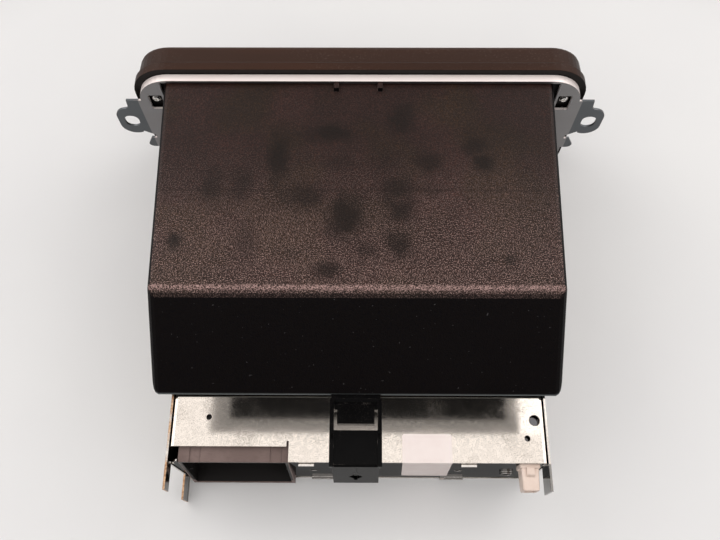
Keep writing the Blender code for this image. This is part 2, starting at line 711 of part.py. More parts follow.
def make_bezel():
    def ring(y, inset):
        low = (inset - BEZEL_WIDTH / 2, inset)
        high = (BEZEL_WIDTH / 2 - inset, BEZEL_TOP - inset)
        return [(x, y, z) for x, z in rounded(low, high, BEZEL_CORNER - inset, 2 * CORNER_STEPS)]

    narrow = BEZEL_STEP + BEZEL_DRAFT
    step_back = BEZEL_BACK - BEZEL_RIM_DEPTH
    rings = [ring(BEZEL_BACK, 0), ring(step_back, 0), ring(step_back - BEZEL_STEP, BEZEL_STEP)]
    for i in range(BEZEL_EDGE_STEPS + 1):
        angle = math.radians(90 * i / BEZEL_EDGE_STEPS)
        rings.append(ring(BEZEL_FRONT + BEZEL_EDGE * (1 - math.sin(angle)),
                          narrow + BEZEL_EDGE * (1 - math.cos(angle))))
    bezel = loft("front_bezel", rings, "black_plastic")
    inset = narrow + BEZEL_WALL
    inner = rounded((inset - BEZEL_WIDTH / 2, inset), (BEZEL_WIDTH / 2 - inset, BEZEL_TOP - inset),
                    BEZEL_CORNER - inset, 2 * CORNER_STEPS)
    hollow = plate("bezel_hollow", "front", [inner], BEZEL_FRONT + BEZEL_FACE, BEZEL_BACK + OVERRUN)
    cut(bezel, hollow)
    mouth = rounded((-MOUTH_WIDTH / 2, MOUTH_BOTTOM), (MOUTH_WIDTH / 2, MOUTH_TOP), MOUTH_CORNER)
    field = rounded((-PANEL_WIDTH / 2 - GAP, PANEL_BOTTOM - GAP),
                    (PANEL_WIDTH / 2 + GAP, PANEL_TOP + GAP), PANEL_CORNER + GAP)
    through = (BEZEL_FRONT - OVERRUN, BEZEL_FRONT + BEZEL_FACE + OVERRUN)
    cut(bezel, plate("bezel_mouth", "front", [mouth], *through),
        plate("bezel_field", "front", [field], *through))
    high_boss = (WINDOW_REACH, SCREW_Z, BEZEL_FRONT + BEZEL_FACE - BITE, FLANGE_FRONT - GAP)
    low_boss = (FRAME_SCREW_REACH, FRAME_SCREW_Z, PANEL_BACK + GAP, FRAME_BACK - FRAME_SHEET - GAP)
    bosses = []
    pilots = []
    for side in (-1, 1):
        for x, z, root, end in (high_boss, low_boss):
            name = f"boss_{len(bosses)}"
            bosses.append(rod(name, (side * x, root, z), BACKWARD, end - root, BOSS_RADIUS, steps=12))
            pilots.append(rod(f"{name}_pilot", (side * x, end + OVERRUN, z), -BACKWARD,
                              SCREW_LENGTH + OVERRUN + GAP, SCREW_RADIUS + GAP, steps=8))
    join(bezel, gather("bezel_bosses", bosses))
    cut(bezel, gather("bezel_pilots", pilots))


def button_places():
    """Name, centre and size of every button on the panel."""
    middle = (PRESET_COUNT - 1) / 2
    places = [(f"preset_button_{i + 1}", ((i - middle) * PRESET_PITCH, PRESET_Z), PRESET_SIZE)
              for i in range(PRESET_COUNT)]
    high, low = GLASS_Z + SIDE_PITCH / 2, GLASS_Z - SIDE_PITCH / 2
    places += [("source_button", (-SIDE_REACH, high), SIDE_SIZE),
               ("band_button", (-SIDE_REACH, low), SIDE_SIZE),
               ("seek_up_button", (SIDE_REACH, high), SIDE_SIZE),
               ("seek_down_button", (SIDE_REACH, low), SIDE_SIZE),
               ("eject_button", (EJECT_X, EJECT_Z), EJECT_SIZE)]
    return places


def make_panel():
    slot = SLOT_WIDTH / 2
    outline = rounded((-PANEL_WIDTH / 2, PANEL_BOTTOM), (PANEL_WIDTH / 2, PANEL_TOP), PANEL_CORNER)
    turn = len(outline) // 4
    outline[turn:turn] = [(slot, PANEL_TOP), (slot, SLOT_BOTTOM), (-slot, SLOT_BOTTOM),
                          (-slot, PANEL_TOP)]
    holes = [around((0, GLASS_Z), (WINDOW_GLASS_WIDTH + 2 * GAP, WINDOW_GLASS_HEIGHT + 2 * GAP),
                    GLASS_CORNER, 3)]
    for _, centre, size in button_places():
        holes.append(around(centre, (size[0] + 2 * GAP, size[1] + 2 * GAP), BUTTON_EDGE, 1))
    for side in (-1, 1):
        holes.append(arc((side * KNOB_REACH, KNOB_Z), SHAFT_RADIUS + GAP, 0, 360, 20)[:-1])
    panel = plate("control_panel", "front", [outline] + holes, PANEL_FRONT, PANEL_BACK,
                  "black_plastic")
    root = PANEL_BACK - BITE
    lip = block("panel_slot_lip", (-slot, root, SLOT_BOTTOM - SLOT_LIP / 2),
                (slot, PANEL_BACK + SLOT_LIP, SLOT_BOTTOM - BITE))
    join(panel, lip)
    posts = []
    for x in (-POST_REACH, POST_REACH):
        for z in (KNOB_Z - POST_DROP, KNOB_Z + POST_DROP):
            posts.append(rod(f"post_{len(posts)}", (x, root, z), BACKWARD,
                             BOARD_FRONT - GAP - root, POST_RADIUS, steps=12))
    join(panel, gather("panel_posts", posts))


def make_display():
    half, tall = WINDOW_GLASS_WIDTH / 2, WINDOW_GLASS_HEIGHT / 2
    lens = plate("display_lens", "front",
                 [around((0, GLASS_Z), (2 * half, 2 * tall), GLASS_CORNER, 3)],
                 PANEL_FRONT, LIP_FRONT + BITE, "display_glass")
    rim = block("lens_rim", (-half - LENS_LIP, LIP_FRONT, GLASS_Z - tall - LENS_LIP),
                (half + LENS_LIP, LIP_FRONT + BUTTON_LIP_THICK, GLASS_Z + tall + LENS_LIP))
    join(lens, rim)
    back = LIP_FRONT + BUTTON_LIP_THICK + GAP
    border = MODULE_BORDER
    module = block("display_module", (-half - border, back, GLASS_Z - tall - border),
                   (half + border, BOARD_FRONT - GAP, GLASS_Z + tall + border), "board_green")
    bay = block("module_bay", (-half, back - OVERRUN, GLASS_Z - tall),
                (half, back + BITE, GLASS_Z + tall))
    cut(module, bay)


def make_buttons():
    for name, (x, z), (width, height) in button_places():
        cap = block(name, (x - width / 2, PANEL_FRONT - BUTTON_PROUD, z - height / 2),
                    (x + width / 2, LIP_FRONT + BITE, z + height / 2), "soft_black")
        soften(cap, BUTTON_EDGE, 1)
        reach, rise = width / 2 + BUTTON_LIP, height / 2 + BUTTON_LIP
        lip_back = LIP_FRONT + BUTTON_LIP_THICK
        lip = block(f"{name}_lip", (x - reach, LIP_FRONT, z - rise), (x + reach, lip_back, z + rise))
        stem = rod(f"{name}_stem", (x, lip_back - BITE, z), BACKWARD, STEM_LENGTH + BITE,
                   STEM_RADIUS, steps=6)
        join(cap, lip, stem)


def make_knob(name, switch_name, side):
    x = side * KNOB_REACH
    back = PANEL_FRONT - KNOB_STANDOFF
    face = BEZEL_FRONT - KNOB_PROUD
    count = 2 * KNOB_FLUTE_COUNT

    def ring(y, radius, flute):
        points = []
        for i in range(count):
            angle = 2 * math.pi * i / count
            reach = radius - (flute if i % 2 else 0)
            points.append((reach * math.cos(angle), y, reach * math.sin(angle)))
        return points

    length = back - face
    dish = KNOB_RADIUS - KNOB_DISH_BORDER
    rings = [ring(length, KNOB_RADIUS, 0), ring(length - KNOB_EDGE, KNOB_RADIUS, 0),
             ring(length - 2 * KNOB_EDGE, KNOB_RADIUS - KNOB_FLUTE, KNOB_FLUTE),
             ring(KNOB_EDGE, KNOB_RADIUS - KNOB_FLUTE, KNOB_FLUTE),
             ring(KNOB_EDGE / 3, KNOB_RADIUS - KNOB_EDGE, 0),
             ring(0, KNOB_RADIUS - 3 * KNOB_EDGE / 2, 0), ring(KNOB_DISH, dish, 0)]
    knob = loft(name, rings, "soft_black")
    knob.location = (x, face, KNOB_Z)
    mark_end = KNOB_Z + KNOB_RADIUS - 3 * KNOB_EDGE / 2
    mark = block(f"{name}_mark", (x - KNOB_MARK_WIDTH / 2, face - OVERRUN, mark_end - KNOB_MARK_LENGTH),
                 (x + KNOB_MARK_WIDTH / 2, face + 2 * KNOB_DISH, mark_end))
    bore_radius = SHAFT_RADIUS + SHAFT_PLAY
    bore = rod(f"{name}_bore", (x, back + OVERRUN, KNOB_Z), -BACKWARD,
               length - KNOB_WALL + OVERRUN, bore_radius, steps=20)
    cut(knob, mark, bore)

    tip = face + KNOB_WALL + GAP
    root = BOARD_FRONT - HOUSING_DEPTH + HOUSING_BORE - KNOB_PUSH - GAP
    switch = rod(switch_name, (x, tip, KNOB_Z), BACKWARD, root - tip, SHAFT_RADIUS, "zinc", steps=20)
    collar = rod(f"{switch_name}_collar", (x, LIP_FRONT, KNOB_Z), BACKWARD, COLLAR_THICK, COLLAR_RADIUS,
                 steps=20)
    join(switch, collar)


def make_front_board():
    half = POST_REACH + POST_RADIUS + FRONT_BOARD_BORDER
    top = SLOT_BOTTOM - SLOT_LIP / 2 - GAP
    board = block("front_board", (-half, BOARD_FRONT, FRONT_BOARD_BOTTOM), (half, BOARD_BACK, top),
                  "board_green")
    side = SWITCH_SIDE / 2
    fitted = []
    for name, (x, z), size in button_places():
        low = max(z - side, FRONT_BOARD_BOTTOM + GAP)
        high = min(z + side, top - GAP)
        fitted.append(block(f"{name}_switch", (x - side, BOARD_FRONT - SWITCH_HEIGHT, low),
                            (x + side, BOARD_FRONT + BITE, high)))
    bores = []
    for turn in (-1, 1):
        x, reach = turn * KNOB_REACH, HOUSING_SIDE / 2
        fitted.append(block(f"housing_{turn}", (x - reach, BOARD_FRONT - HOUSING_DEPTH, KNOB_Z - reach),
                            (x + reach, BOARD_FRONT + BITE, KNOB_Z + reach)))
        bores.append(rod(f"housing_bore_{turn}", (x, BOARD_FRONT - HOUSING_DEPTH - OVERRUN, KNOB_Z),
                         BACKWARD, HOUSING_BORE + OVERRUN, SHAFT_RADIUS + GAP, steps=16))
    link = block("board_link", (-LINK_WIDTH / 2, BOARD_BACK - BITE, LINK_Z - LINK_HEIGHT / 2),
                 (LINK_WIDTH / 2, CHASSIS_FRONT - GAP, LINK_Z + LINK_HEIGHT / 2))
    join(board, gather("board_fitted", fitted), link)
    cut(board, gather("board_bores", bores))


def ear_outline():
    """One side of the frame's outline, from the middle of its top to the middle of its bottom."""
    half = FRAME_WIDTH / 2
    top, bottom, radius = FRAME_TOP, FRAME_BOTTOM, FRAME_CORNER
    shoulder = POCKET_TOP - EAR_SHOULDER_DROP
    notch = shoulder - EAR_SHOULDER_HEIGHT
    reach = EAR_HALF_HEIGHT - EAR_HALF_WIDTH
    high, low = EAR_HOLE_Z + reach, EAR_HOLE_Z - reach
    lead = math.degrees(math.acos((EAR_SHOULDER_REACH - EAR_HOLE_REACH) / EAR_HALF_WIDTH))
    root = math.degrees(math.acos((EAR_ROOT_REACH - EAR_HOLE_REACH) / EAR_HALF_WIDTH))
    points = [(0, top)] + arc((half - radius, top - radius), radius, 90, 0, 2 * CORNER_STEPS)
    points += [(half, shoulder), (EAR_SHOULDER_REACH - BITE, shoulder), (EAR_SHOULDER_REACH, notch)]
    points += arc((EAR_HOLE_REACH, high), EAR_HALF_WIDTH, lead, 0, 2 * CORNER_STEPS)[1:]
    points += arc((EAR_HOLE_REACH, low), EAR_HALF_WIDTH, 0, -root, 2 * CORNER_STEPS)
    root_z = POCKET_TOP - EAR_ROOT_DROP
    points += [(EAR_ROOT_REACH, root_z - EAR_ROOT_OUT / 3), (half, root_z - EAR_ROOT_OUT)]
    return points


def make_frame():
    points = ear_outline()
    half, radius = FRAME_WIDTH / 2, FRAME_CORNER
    low_corner = arc((half - radius, FRAME_BOTTOM + radius), radius, 0, -90, 2 * CORNER_STEPS)
    tab_top = points[-1][1] - TAB_HEIGHT / 3
    tab = [(half, tab_top), (TAB_REACH - TAB_CORNER, tab_top)]
    tab += arc((TAB_REACH - TAB_CORNER, tab_top - TAB_HEIGHT + TAB_CORNER), TAB_CORNER, 0, -90)
    tab += [(half, tab_top - TAB_HEIGHT)]
    right = points + tab + low_corner
    outline = right + mirrored(right)

    play = FRAME_PLAY
    wide = pocket_half_width(FRAME_BACK, POCKET_BOTTOM) + POCKET_OFFSET + play
    chassis = CHASSIS_WIDTH / 2 + play
    step = POCKET_BOTTOM - play
    opening = [(chassis, CHASSIS_BOTTOM - play), (chassis, step), (wide, step),
               (wide, POCKET_TOP + play)]
    opening += mirrored(opening)
    holes = [opening]
    for side in (-1, 1):
        slot = around((side * EAR_HOLE_REACH, EAR_HOLE_Z), (EAR_SLOT_WIDTH, EAR_SLOT_HEIGHT),
                      EAR_SLOT_WIDTH / 2 - BITE / 2, 6)
        window = around((side * WINDOW_REACH, POCKET_TOP - WINDOW_DROP), (WINDOW_WIDTH, WINDOW_HEIGHT),
                        BITE, 2)
        pilot = arc((side * FRAME_SCREW_REACH, FRAME_SCREW_Z), SCREW_RADIUS + GAP, 0, 360, 12)[:-1]
        holes += [slot, window, pilot]
    frame = plate("mounting_frame", "front", [outline] + holes, FRAME_BACK - FRAME_SHEET, FRAME_BACK,
                  "frame_steel")
    outer = rounded((-half, FRAME_BOTTOM), (half, FRAME_TOP), radius, 2 * CORNER_STEPS)
    inner = rounded((FRAME_SHEET - half, FRAME_BOTTOM + FRAME_SHEET),
                    (half - FRAME_SHEET, FRAME_TOP - FRAME_SHEET), radius - FRAME_SHEET,
                    2 * CORNER_STEPS)
    wall = plate("frame_wall", "front", [outer, inner], FRAME_FRONT, FRAME_BACK - FRAME_SHEET / 2)
    join(frame, wall)
    middle = (CHASSIS_BOTTOM + CHASSIS_TOP) / 2
    for side in (-1, 1):
        inside = side * (CHASSIS_WIDTH / 2 + GAP)
        outside = inside + side * FRAME_SHEET
        tip, root = FRAME_BACK + ARM_LENGTH, FRAME_BACK - FRAME_SHEET / 2
        rise = ARM_HEIGHT / 2
        shape = [(root, middle - rise)]
        shape += arc((tip - ARM_CORNER, middle - rise + ARM_CORNER), ARM_CORNER, -90, 0)
        shape += arc((tip - ARM_CORNER, middle + rise - ARM_CORNER), ARM_CORNER, 0, 90)
        shape += [(root, middle + rise)]
        arm = plate(f"frame_arm_{side}", "side", [shape], min(inside, outside), max(inside, outside))
        join(frame, arm)
        cut(frame, gather(f"arm_holes_{side}", [
            rod(f"arm_hole_{side}_{i}", (side * (CHASSIS_WIDTH / 2 - OVERRUN), y, middle),
                SIDEWAYS * side, 2 * OVERRUN + FRAME_SHEET + GAP, SIDE_SCREW_RADIUS + GAP, steps=10)
            for i, y in enumerate(side_screw_stations())]))


def side_screw_stations():
    return [FRAME_BACK + ARM_LENGTH * share for share in SIDE_SCREW_SHARES]


def make_screws():
    for side, word in ((-1, "left"), (1, "right")):
        make_screw(f"pocket_screw_{word}", Vector((side * WINDOW_REACH, FLANGE_BACK + GAP, SCREW_Z)),
                   BACKWARD, SCREW_RADIUS, SCREW_HEAD_RADIUS, SCREW_LENGTH)
        make_screw(f"frame_screw_{word}",
                   Vector((side * FRAME_SCREW_REACH, FRAME_BACK + GAP, FRAME_SCREW_Z)),
                   BACKWARD, SCREW_RADIUS, SCREW_HEAD_RADIUS, SCREW_LENGTH)
        for place_word, y in zip(("front", "rear"), side_screw_stations()):
            seat = Vector((side * (CHASSIS_WIDTH / 2 + 2 * GAP + FRAME_SHEET), y,
                           (CHASSIS_BOTTOM + CHASSIS_TOP) / 2))
            make_screw(f"side_screw_{word}_{place_word}", seat, SIDEWAYS * side, SIDE_SCREW_RADIUS,
                       SIDE_SCREW_HEAD_RADIUS, SIDE_SCREW_LENGTH)


def make_pocket():
    """The pocket's outer skin, open at the front, with its wall laid inside it."""
    shape = bmesh.new()
    bmesh.ops.create_cube(shape, size=2)
    for vert in shape.verts:
        side, back, up = vert.co
        z = POCKET_TOP if up > 0 else POCKET_BOTTOM
        length = POCKET_TOP_LENGTH if up > 0 else POCKET_FLOOR_LENGTH
        y = FRAME_BACK + length if back > 0 else POCKET_FRONT
        vert.co = (side * pocket_half_width(min(y, FRAME_BACK + POCKET_TOP_LENGTH), z), y, z)
    heavy = shape.edges.layers.float.new("bevel_weight_edge")
    front = [face for face in shape.faces if face.normal.y < -0.9 * face.normal.length]
    bmesh.ops.delete(shape, geom=front, context="FACES_ONLY")
    for edge in shape.edges:
        along = (edge.verts[0].co - edge.verts[1].co).normalized()
        if abs(along.x) < 0.9 and len(edge.link_faces) == 2:
            at_back = min(v.co.y for v in edge.verts) > FRAME_BACK
            edge[heavy] = 1 if at_back else 2 * POCKET_EDGE_SHARE
        elif len(edge.link_faces) == 2:
            low = edge.verts[0].co.z < POCKET_TOP
            edge[heavy] = 1 if low else POCKET_EDGE_SHARE
    mesh = bpy.data.meshes.new("storage_pocket")
    shape.to_mesh(mesh)
    shape.free()
    pocket = place("storage_pocket", mesh, "grained_plastic")
    pocket.location.x = POCKET_OFFSET
    edges = pocket.modifiers.new("Edges", "BEVEL")
    edges.width = POCKET_CORNER
    edges.segments = 3
    edges.limit_method = "WEIGHT"
    wall = pocket.modifiers.new("Wall", "SOLIDIFY")
    wall.thickness = POCKET_WALL
    wall.use_even_offset = True
    inset = POCKET_WALL / 2
    wide = pocket_half_width(FLANGE_BACK, POCKET_TOP) - inset
    ring = plate("pocket_flange", "front",
                 [rounded((-FLANGE_WIDTH / 2, POCKET_BOTTOM + inset / 2),
                          (FLANGE_WIDTH / 2, POCKET_TOP + FLANGE_RISE), FLANGE_CORNER),
                  rectangle((POCKET_OFFSET - wide, POCKET_BOTTOM + inset),
                            (POCKET_OFFSET + wide, POCKET_TOP - inset))],
                 FLANGE_FRONT, FLANGE_BACK)
    ribs = []
    for side in (-1, 1):
        x = POCKET_OFFSET + side * RIB_SPACING / 2
        profile = [(FRAME_BACK + GAP, POCKET_TOP - BITE), (FRAME_BACK + GAP, POCKET_TOP + RIB_HEIGHT),
                   (FRAME_BACK + RIB_LENGTH * RIB_CREST_SHARE, POCKET_TOP + RIB_HEIGHT),
                   (FRAME_BACK + RIB_LENGTH, POCKET_TOP - BITE)]
        ribs.append(plate(f"pocket_rib_{side}", "side", [profile], x - RIB_WIDTH / 2,
                          x + RIB_WIDTH / 2))
    join(pocket, ring, gather("pocket_ribs", ribs))
    cut(pocket, gather("flange_holes", [
        rod(f"flange_hole_{side}", (side * WINDOW_REACH, FLANGE_FRONT - OVERRUN, SCREW_Z), BACKWARD,
            FLANGE_THICK + 2 * OVERRUN, SCREW_RADIUS + GAP, steps=12) for side in (-1, 1)]))


def make_clip():
    """A flat tongue plate over the chassis edge, with a U-shaped slot, ribs and a slanting tail."""
    low, high = CLIP_OFFSET - CLIP_WIDTH / 2, CLIP_OFFSET + CLIP_WIDTH / 2
    seat = CHASSIS_TOP + GAP
    top = seat + CLIP_THICK
    edge = CHASSIS_BACK + GAP
    foot = FRAME_BACK + POCKET_FLOOR_LENGTH
    slope = (POCKET_FLOOR_LENGTH - POCKET_TOP_LENGTH) / POCKET_HEIGHT
    rise = seat + CLIP_RIB_HEIGHT
    front = foot + 2 * GAP - slope * (rise - POCKET_BOTTOM)
    tail = CLIP_TAIL_WIDTH / 2
    profile = [(foot - CLIP_TUCK, seat), (edge, seat),
               (edge + CLIP_TAIL_FLARE, seat - CLIP_TAIL_HEIGHT),
               (edge + CLIP_TAIL_FLARE + CLIP_THICK, seat - CLIP_TAIL_HEIGHT),
               (edge + CLIP_THICK, top - CLIP_THICK / 2), (edge + CLIP_THICK / 2, top),
               (foot + 2 * GAP + CLIP_THICK, top), (foot + 2 * GAP + BITE, seat + CLIP_TUCK_THICK),
               (foot - CLIP_TUCK, seat + CLIP_TUCK_THICK)]
    clip = plate("pocket_clip", "side", [profile], CLIP_OFFSET - tail, CLIP_OFFSET + tail,
                 "gloss_black")
    rib_back = edge + CLIP_THICK
    rib = [(front + CLIP_THICK, rise), (front + CLIP_THICK + BITE, seat), (rib_back, seat),
           (rib_back, top), (CHASSIS_BACK - CLIP_RIB_END, rise)]
    ribs = [plate("clip_rib_low", "side", [rib], low, low + CLIP_RIB_WIDTH),
            plate("clip_rib_high", "side", [rib], high - CLIP_RIB_WIDTH, high)]
    wall = [(front, rise), (foot + 2 * GAP, seat + CLIP_TUCK_THICK / 2),
            (foot + 2 * GAP + CLIP_THICK, seat + CLIP_TUCK_THICK / 2), (front + CLIP_THICK, rise)]
    join(clip, gather("clip_ribs", ribs),
         plate("clip_upstand", "side", [wall], low + BITE, high - BITE))
    slot_front, slot_back = CHASSIS_BACK - CLIP_SLOT_START, CHASSIS_BACK - CLIP_SLOT_END
    span = CLIP_SLOT_SPAN / 2
    loop = [(-span, slot_front), (-span, slot_back), (span, slot_back), (span, slot_front),
            (span - CLIP_SLOT, slot_front), (span - CLIP_SLOT, slot_back - CLIP_BAR),
            (CLIP_SLOT - span, slot_back - CLIP_BAR), (CLIP_SLOT - span, slot_front)]
    loop = [(x + CLIP_OFFSET, y) for x, y in loop]
    nicks = [block(f"clip_nick_{side}", (CLIP_OFFSET + side * tail - CLIP_RIB_WIDTH / 4,
                                         CHASSIS_BACK - CLIP_RIB_END - CLIP_NICK, top),
                   (CLIP_OFFSET + side * tail + CLIP_RIB_WIDTH / 4, CHASSIS_BACK - CLIP_RIB_END,
                    rise + OVERRUN)) for side in (-1, 1)]
    middle = seat - CLIP_TAIL_HEIGHT * CLIP_HOLE_DROP_SHARE
    wide, tall, neck = CLIP_HOLE_WIDTH / 2, CLIP_HOLE_HEIGHT / 2, CLIP_HOLE_WIDTH / 8
    taper = tall * CLIP_HOLE_NECK_SHARE
    diamond = [(-wide, middle), (-neck, middle - taper), (-neck, middle - tall),
               (neck, middle - tall), (neck, middle - taper), (wide, middle),
               (neck, middle + taper), (neck, middle + tall), (-neck, middle + tall),
               (-neck, middle + taper)]
    diamond = [(x + CLIP_OFFSET, z) for x, z in diamond]
    cut(clip, plate("clip_slot", "top", [loop], seat - OVERRUN, rise + OVERRUN),
        gather("clip_nicks", nicks),
        plate("clip_hole", "front", [diamond], edge - OVERRUN, edge + CLIP_TAIL_FLARE + 2 * OVERRUN))


def bend_points(corner, first, last):
    """A fold in a sheet profile, rounded off between two of its directions."""
    x, z = corner
    return [(x + first[0] * SHEET_BEND, z + first[1] * SHEET_BEND),
            (x + (first[0] + last[0]) * SHEET_BEND * BEND_SHARE, z + (first[1] + last[1]) * SHEET_BEND * BEND_SHARE),
            (x + last[0] * SHEET_BEND, z + last[1] * SHEET_BEND)]


def make_tray():
    half = CHASSIS_WIDTH / 2
    profile = ([(-half, CHASSIS_TOP)] + bend_points((-half, CHASSIS_BOTTOM), (0, 1), (1, 0))
               + bend_points((half, CHASSIS_BOTTOM), (-1, 0), (0, 1)) + [(half, CHASSIS_TOP)])
    end = CHASSIS_BACK + PRONG_LENGTH
    tray = folded("chassis_tray", profile, CHASSIS_FRONT, end, SHEET, "galvanised")
    past = end + OVERRUN
    inside = half - SHEET - GAP
    lone = CHASSIS_TOP - LONE_PRONG_HEIGHT
    cut(tray,
        block("tray_end_floor", (-half - OVERRUN, CHASSIS_BACK, CHASSIS_BOTTOM - OVERRUN),
              (inside, past, lone)),
        block("tray_end_wall", (inside - OVERRUN, CHASSIS_BACK, CHASSIS_BOTTOM + FOOT_PRONG_HEIGHT),
              (half + OVERRUN, past, CHASSIS_TOP - TOP_PRONG_HEIGHT)))
    screw_holes = []
    for side in (-1, 1):
        for i, y in enumerate(side_screw_stations()):
            screw_holes.append(rod(f"tray_hole_{side}_{i}", (side * (half - OVERRUN), y,
                                                            (CHASSIS_BOTTOM + CHASSIS_TOP) / 2),
                                   SIDEWAYS * side, 2 * OVERRUN, SIDE_SCREW_RADIUS + GAP, steps=12))
    vents = []
    for column in range(VENT_COUNT):
        for row in (-1, 1):
            x = (column - (VENT_COUNT - 1) / 2) * VENT_PITCH
            y = (CHASSIS_FRONT + CHASSIS_BACK) / 2 + row * VENT_LENGTH
            shape = around((x, y), (VENT_WIDTH, VENT_LENGTH), VENT_WIDTH / 2 - BITE / 2, 2)
            vents.append(plate(f"tray_vent_{column}_{row}", "top", [shape],
                               CHASSIS_BOTTOM - OVERRUN, TRAY_FLOOR + OVERRUN))
    cut(tray, gather("tray_screw_holes", screw_holes), gather("tray_vents", vents))


def make_cover():
    half = CHASSIS_WIDTH / 2 - SHEET - GAP
    profile = ([(half, CHASSIS_TOP - COVER_FLANGE)] + bend_points((half, CHASSIS_TOP), (0, -1), (-1, 0))
               + bend_points((-half, CHASSIS_TOP), (1, 0), (0, -1))
               + [(-half, CHASSIS_TOP - COVER_FLANGE)])
    cover = folded("top_cover", profile, CHASSIS_FRONT, CHASSIS_BACK, SHEET, "galvanised")
    depth = (CHASSIS_TOP - COVER_FLANGE - OVERRUN, CHASSIS_TOP + OVERRUN)
    notch = [(CONNECTOR_LOW_X, CHASSIS_BACK + OVERRUN), (CONNECTOR_LOW_X, CHASSIS_BACK - COVER_NOTCH),
             (half + OVERRUN, CHASSIS_BACK - COVER_NOTCH), (half + OVERRUN, CHASSIS_BACK + OVERRUN)]
    inner = CHASSIS_BACK - COVER_NOTCH
    slit = rectangle((CONNECTOR_LOW_X, inner - COVER_SLIT_LENGTH),
                     (CONNECTOR_LOW_X + COVER_SLIT, inner + OVERRUN))
    holes = []
    for side, (across, along), radius in zip(COVER_HOLE_SIDES, COVER_HOLE_INSETS, COVER_HOLE_RADII):
        holes.append(rod(f"cover_hole_{len(holes)}",
                         (side * (CHASSIS_WIDTH / 2 - across), CHASSIS_BACK - along, CHASSIS_TOP - OVERRUN),
                         UP, 2 * OVERRUN, radius, steps=16))
    cut(cover, plate("cover_notch", "top", [notch], *depth), plate("cover_slit", "top", [slit], *depth),
        gather("cover_holes", holes))


def places_between(insets):
    """Two places on the back wall, set in from the connector and from the antenna socket."""
    return (CONNECTOR_LOW_X - insets[0], ANTENNA_X + insets[1])


def make_back_wall():
    half = CHASSIS_WIDTH / 2 - SHEET - GAP
    low, high = TRAY_FLOOR + GAP, CHASSIS_TOP - SHEET - GAP
    left, right = CONNECTOR_LOW_X - GAP, CONNECTOR_HIGH_X + GAP
    floor = CONNECTOR_BOTTOM - GAP
    socket = ANTENNA_WIDTH / 2 + GAP
    sill = CHASSIS_TOP - ANTENNA_DROP - ANTENNA_HEIGHT - GAP
    trim = SHEET_BEND
    neck, shoulder = half - SHEET - GAP, CHASSIS_TOP - COVER_FLANGE - GAP
    outline = [(half - trim, low), (half, low + trim), (half, shoulder), (neck, shoulder),
               (neck, high - trim), (neck - trim, high), (right, high), (right, floor),
               (left, floor), (left, high), (ANTENNA_X + socket, high),
               (ANTENNA_X + socket, sill), (ANTENNA_X - socket, sill),
               (ANTENNA_X - socket, high), (trim - neck, high), (-neck, high - trim),
               (-neck, shoulder), (-half, shoulder), (-half, low + trim), (trim - half, low)]
    holes = [arc((x, CHASSIS_TOP - BACK_HOLE_DROP), BACK_HOLE_RADIUS, 0, 360, 16)[:-1]
             for x in places_between(BACK_HOLE_INSETS)]
    collar_x = ANTENNA_X + COLLAR_HOLE_INSET
    collar_z = CHASSIS_TOP - COLLAR_HOLE_DROP
    front = BACK_FACE - SHEET
    wall = plate("rear_panel", "front", [outline] + holes, front, BACK_FACE, "galvanised")
    extras = [rod("back_collar", (collar_x, BACK_FACE - SHEET / 2, collar_z), BACKWARD,
                  COLLAR_REACH + SHEET / 2, COLLAR_HOLE_RADIUS + COLLAR_WALL, steps=20)]
    tab_top = CHASSIS_TOP - TAB_LANCE_DROP
    tabs = (("back_tab", LANCE_TAB_INSETS, TAB_LANCE_WIDTH, TAB_LANCE_REACH, tab_top - SHEET),
            ("back_foot", BACK_FOOT_INSETS, BACK_FOOT_WIDTH, BACK_FOOT_REACH, low + BITE))
    for name, insets, width, reach, z in tabs:
        for x in places_between(insets):
            extras.append(block(f"{name}_{len(extras)}", (x - width / 2, BACK_FACE - SHEET / 2, z),
                                (x + width / 2, BACK_FACE + reach, z + SHEET)))
    join(wall, gather("back_extras", extras))
    cut(wall, rod("back_collar_hole", (collar_x, front - OVERRUN, collar_z), BACKWARD,
                  COLLAR_REACH + SHEET + 2 * OVERRUN, COLLAR_HOLE_RADIUS, steps=20))


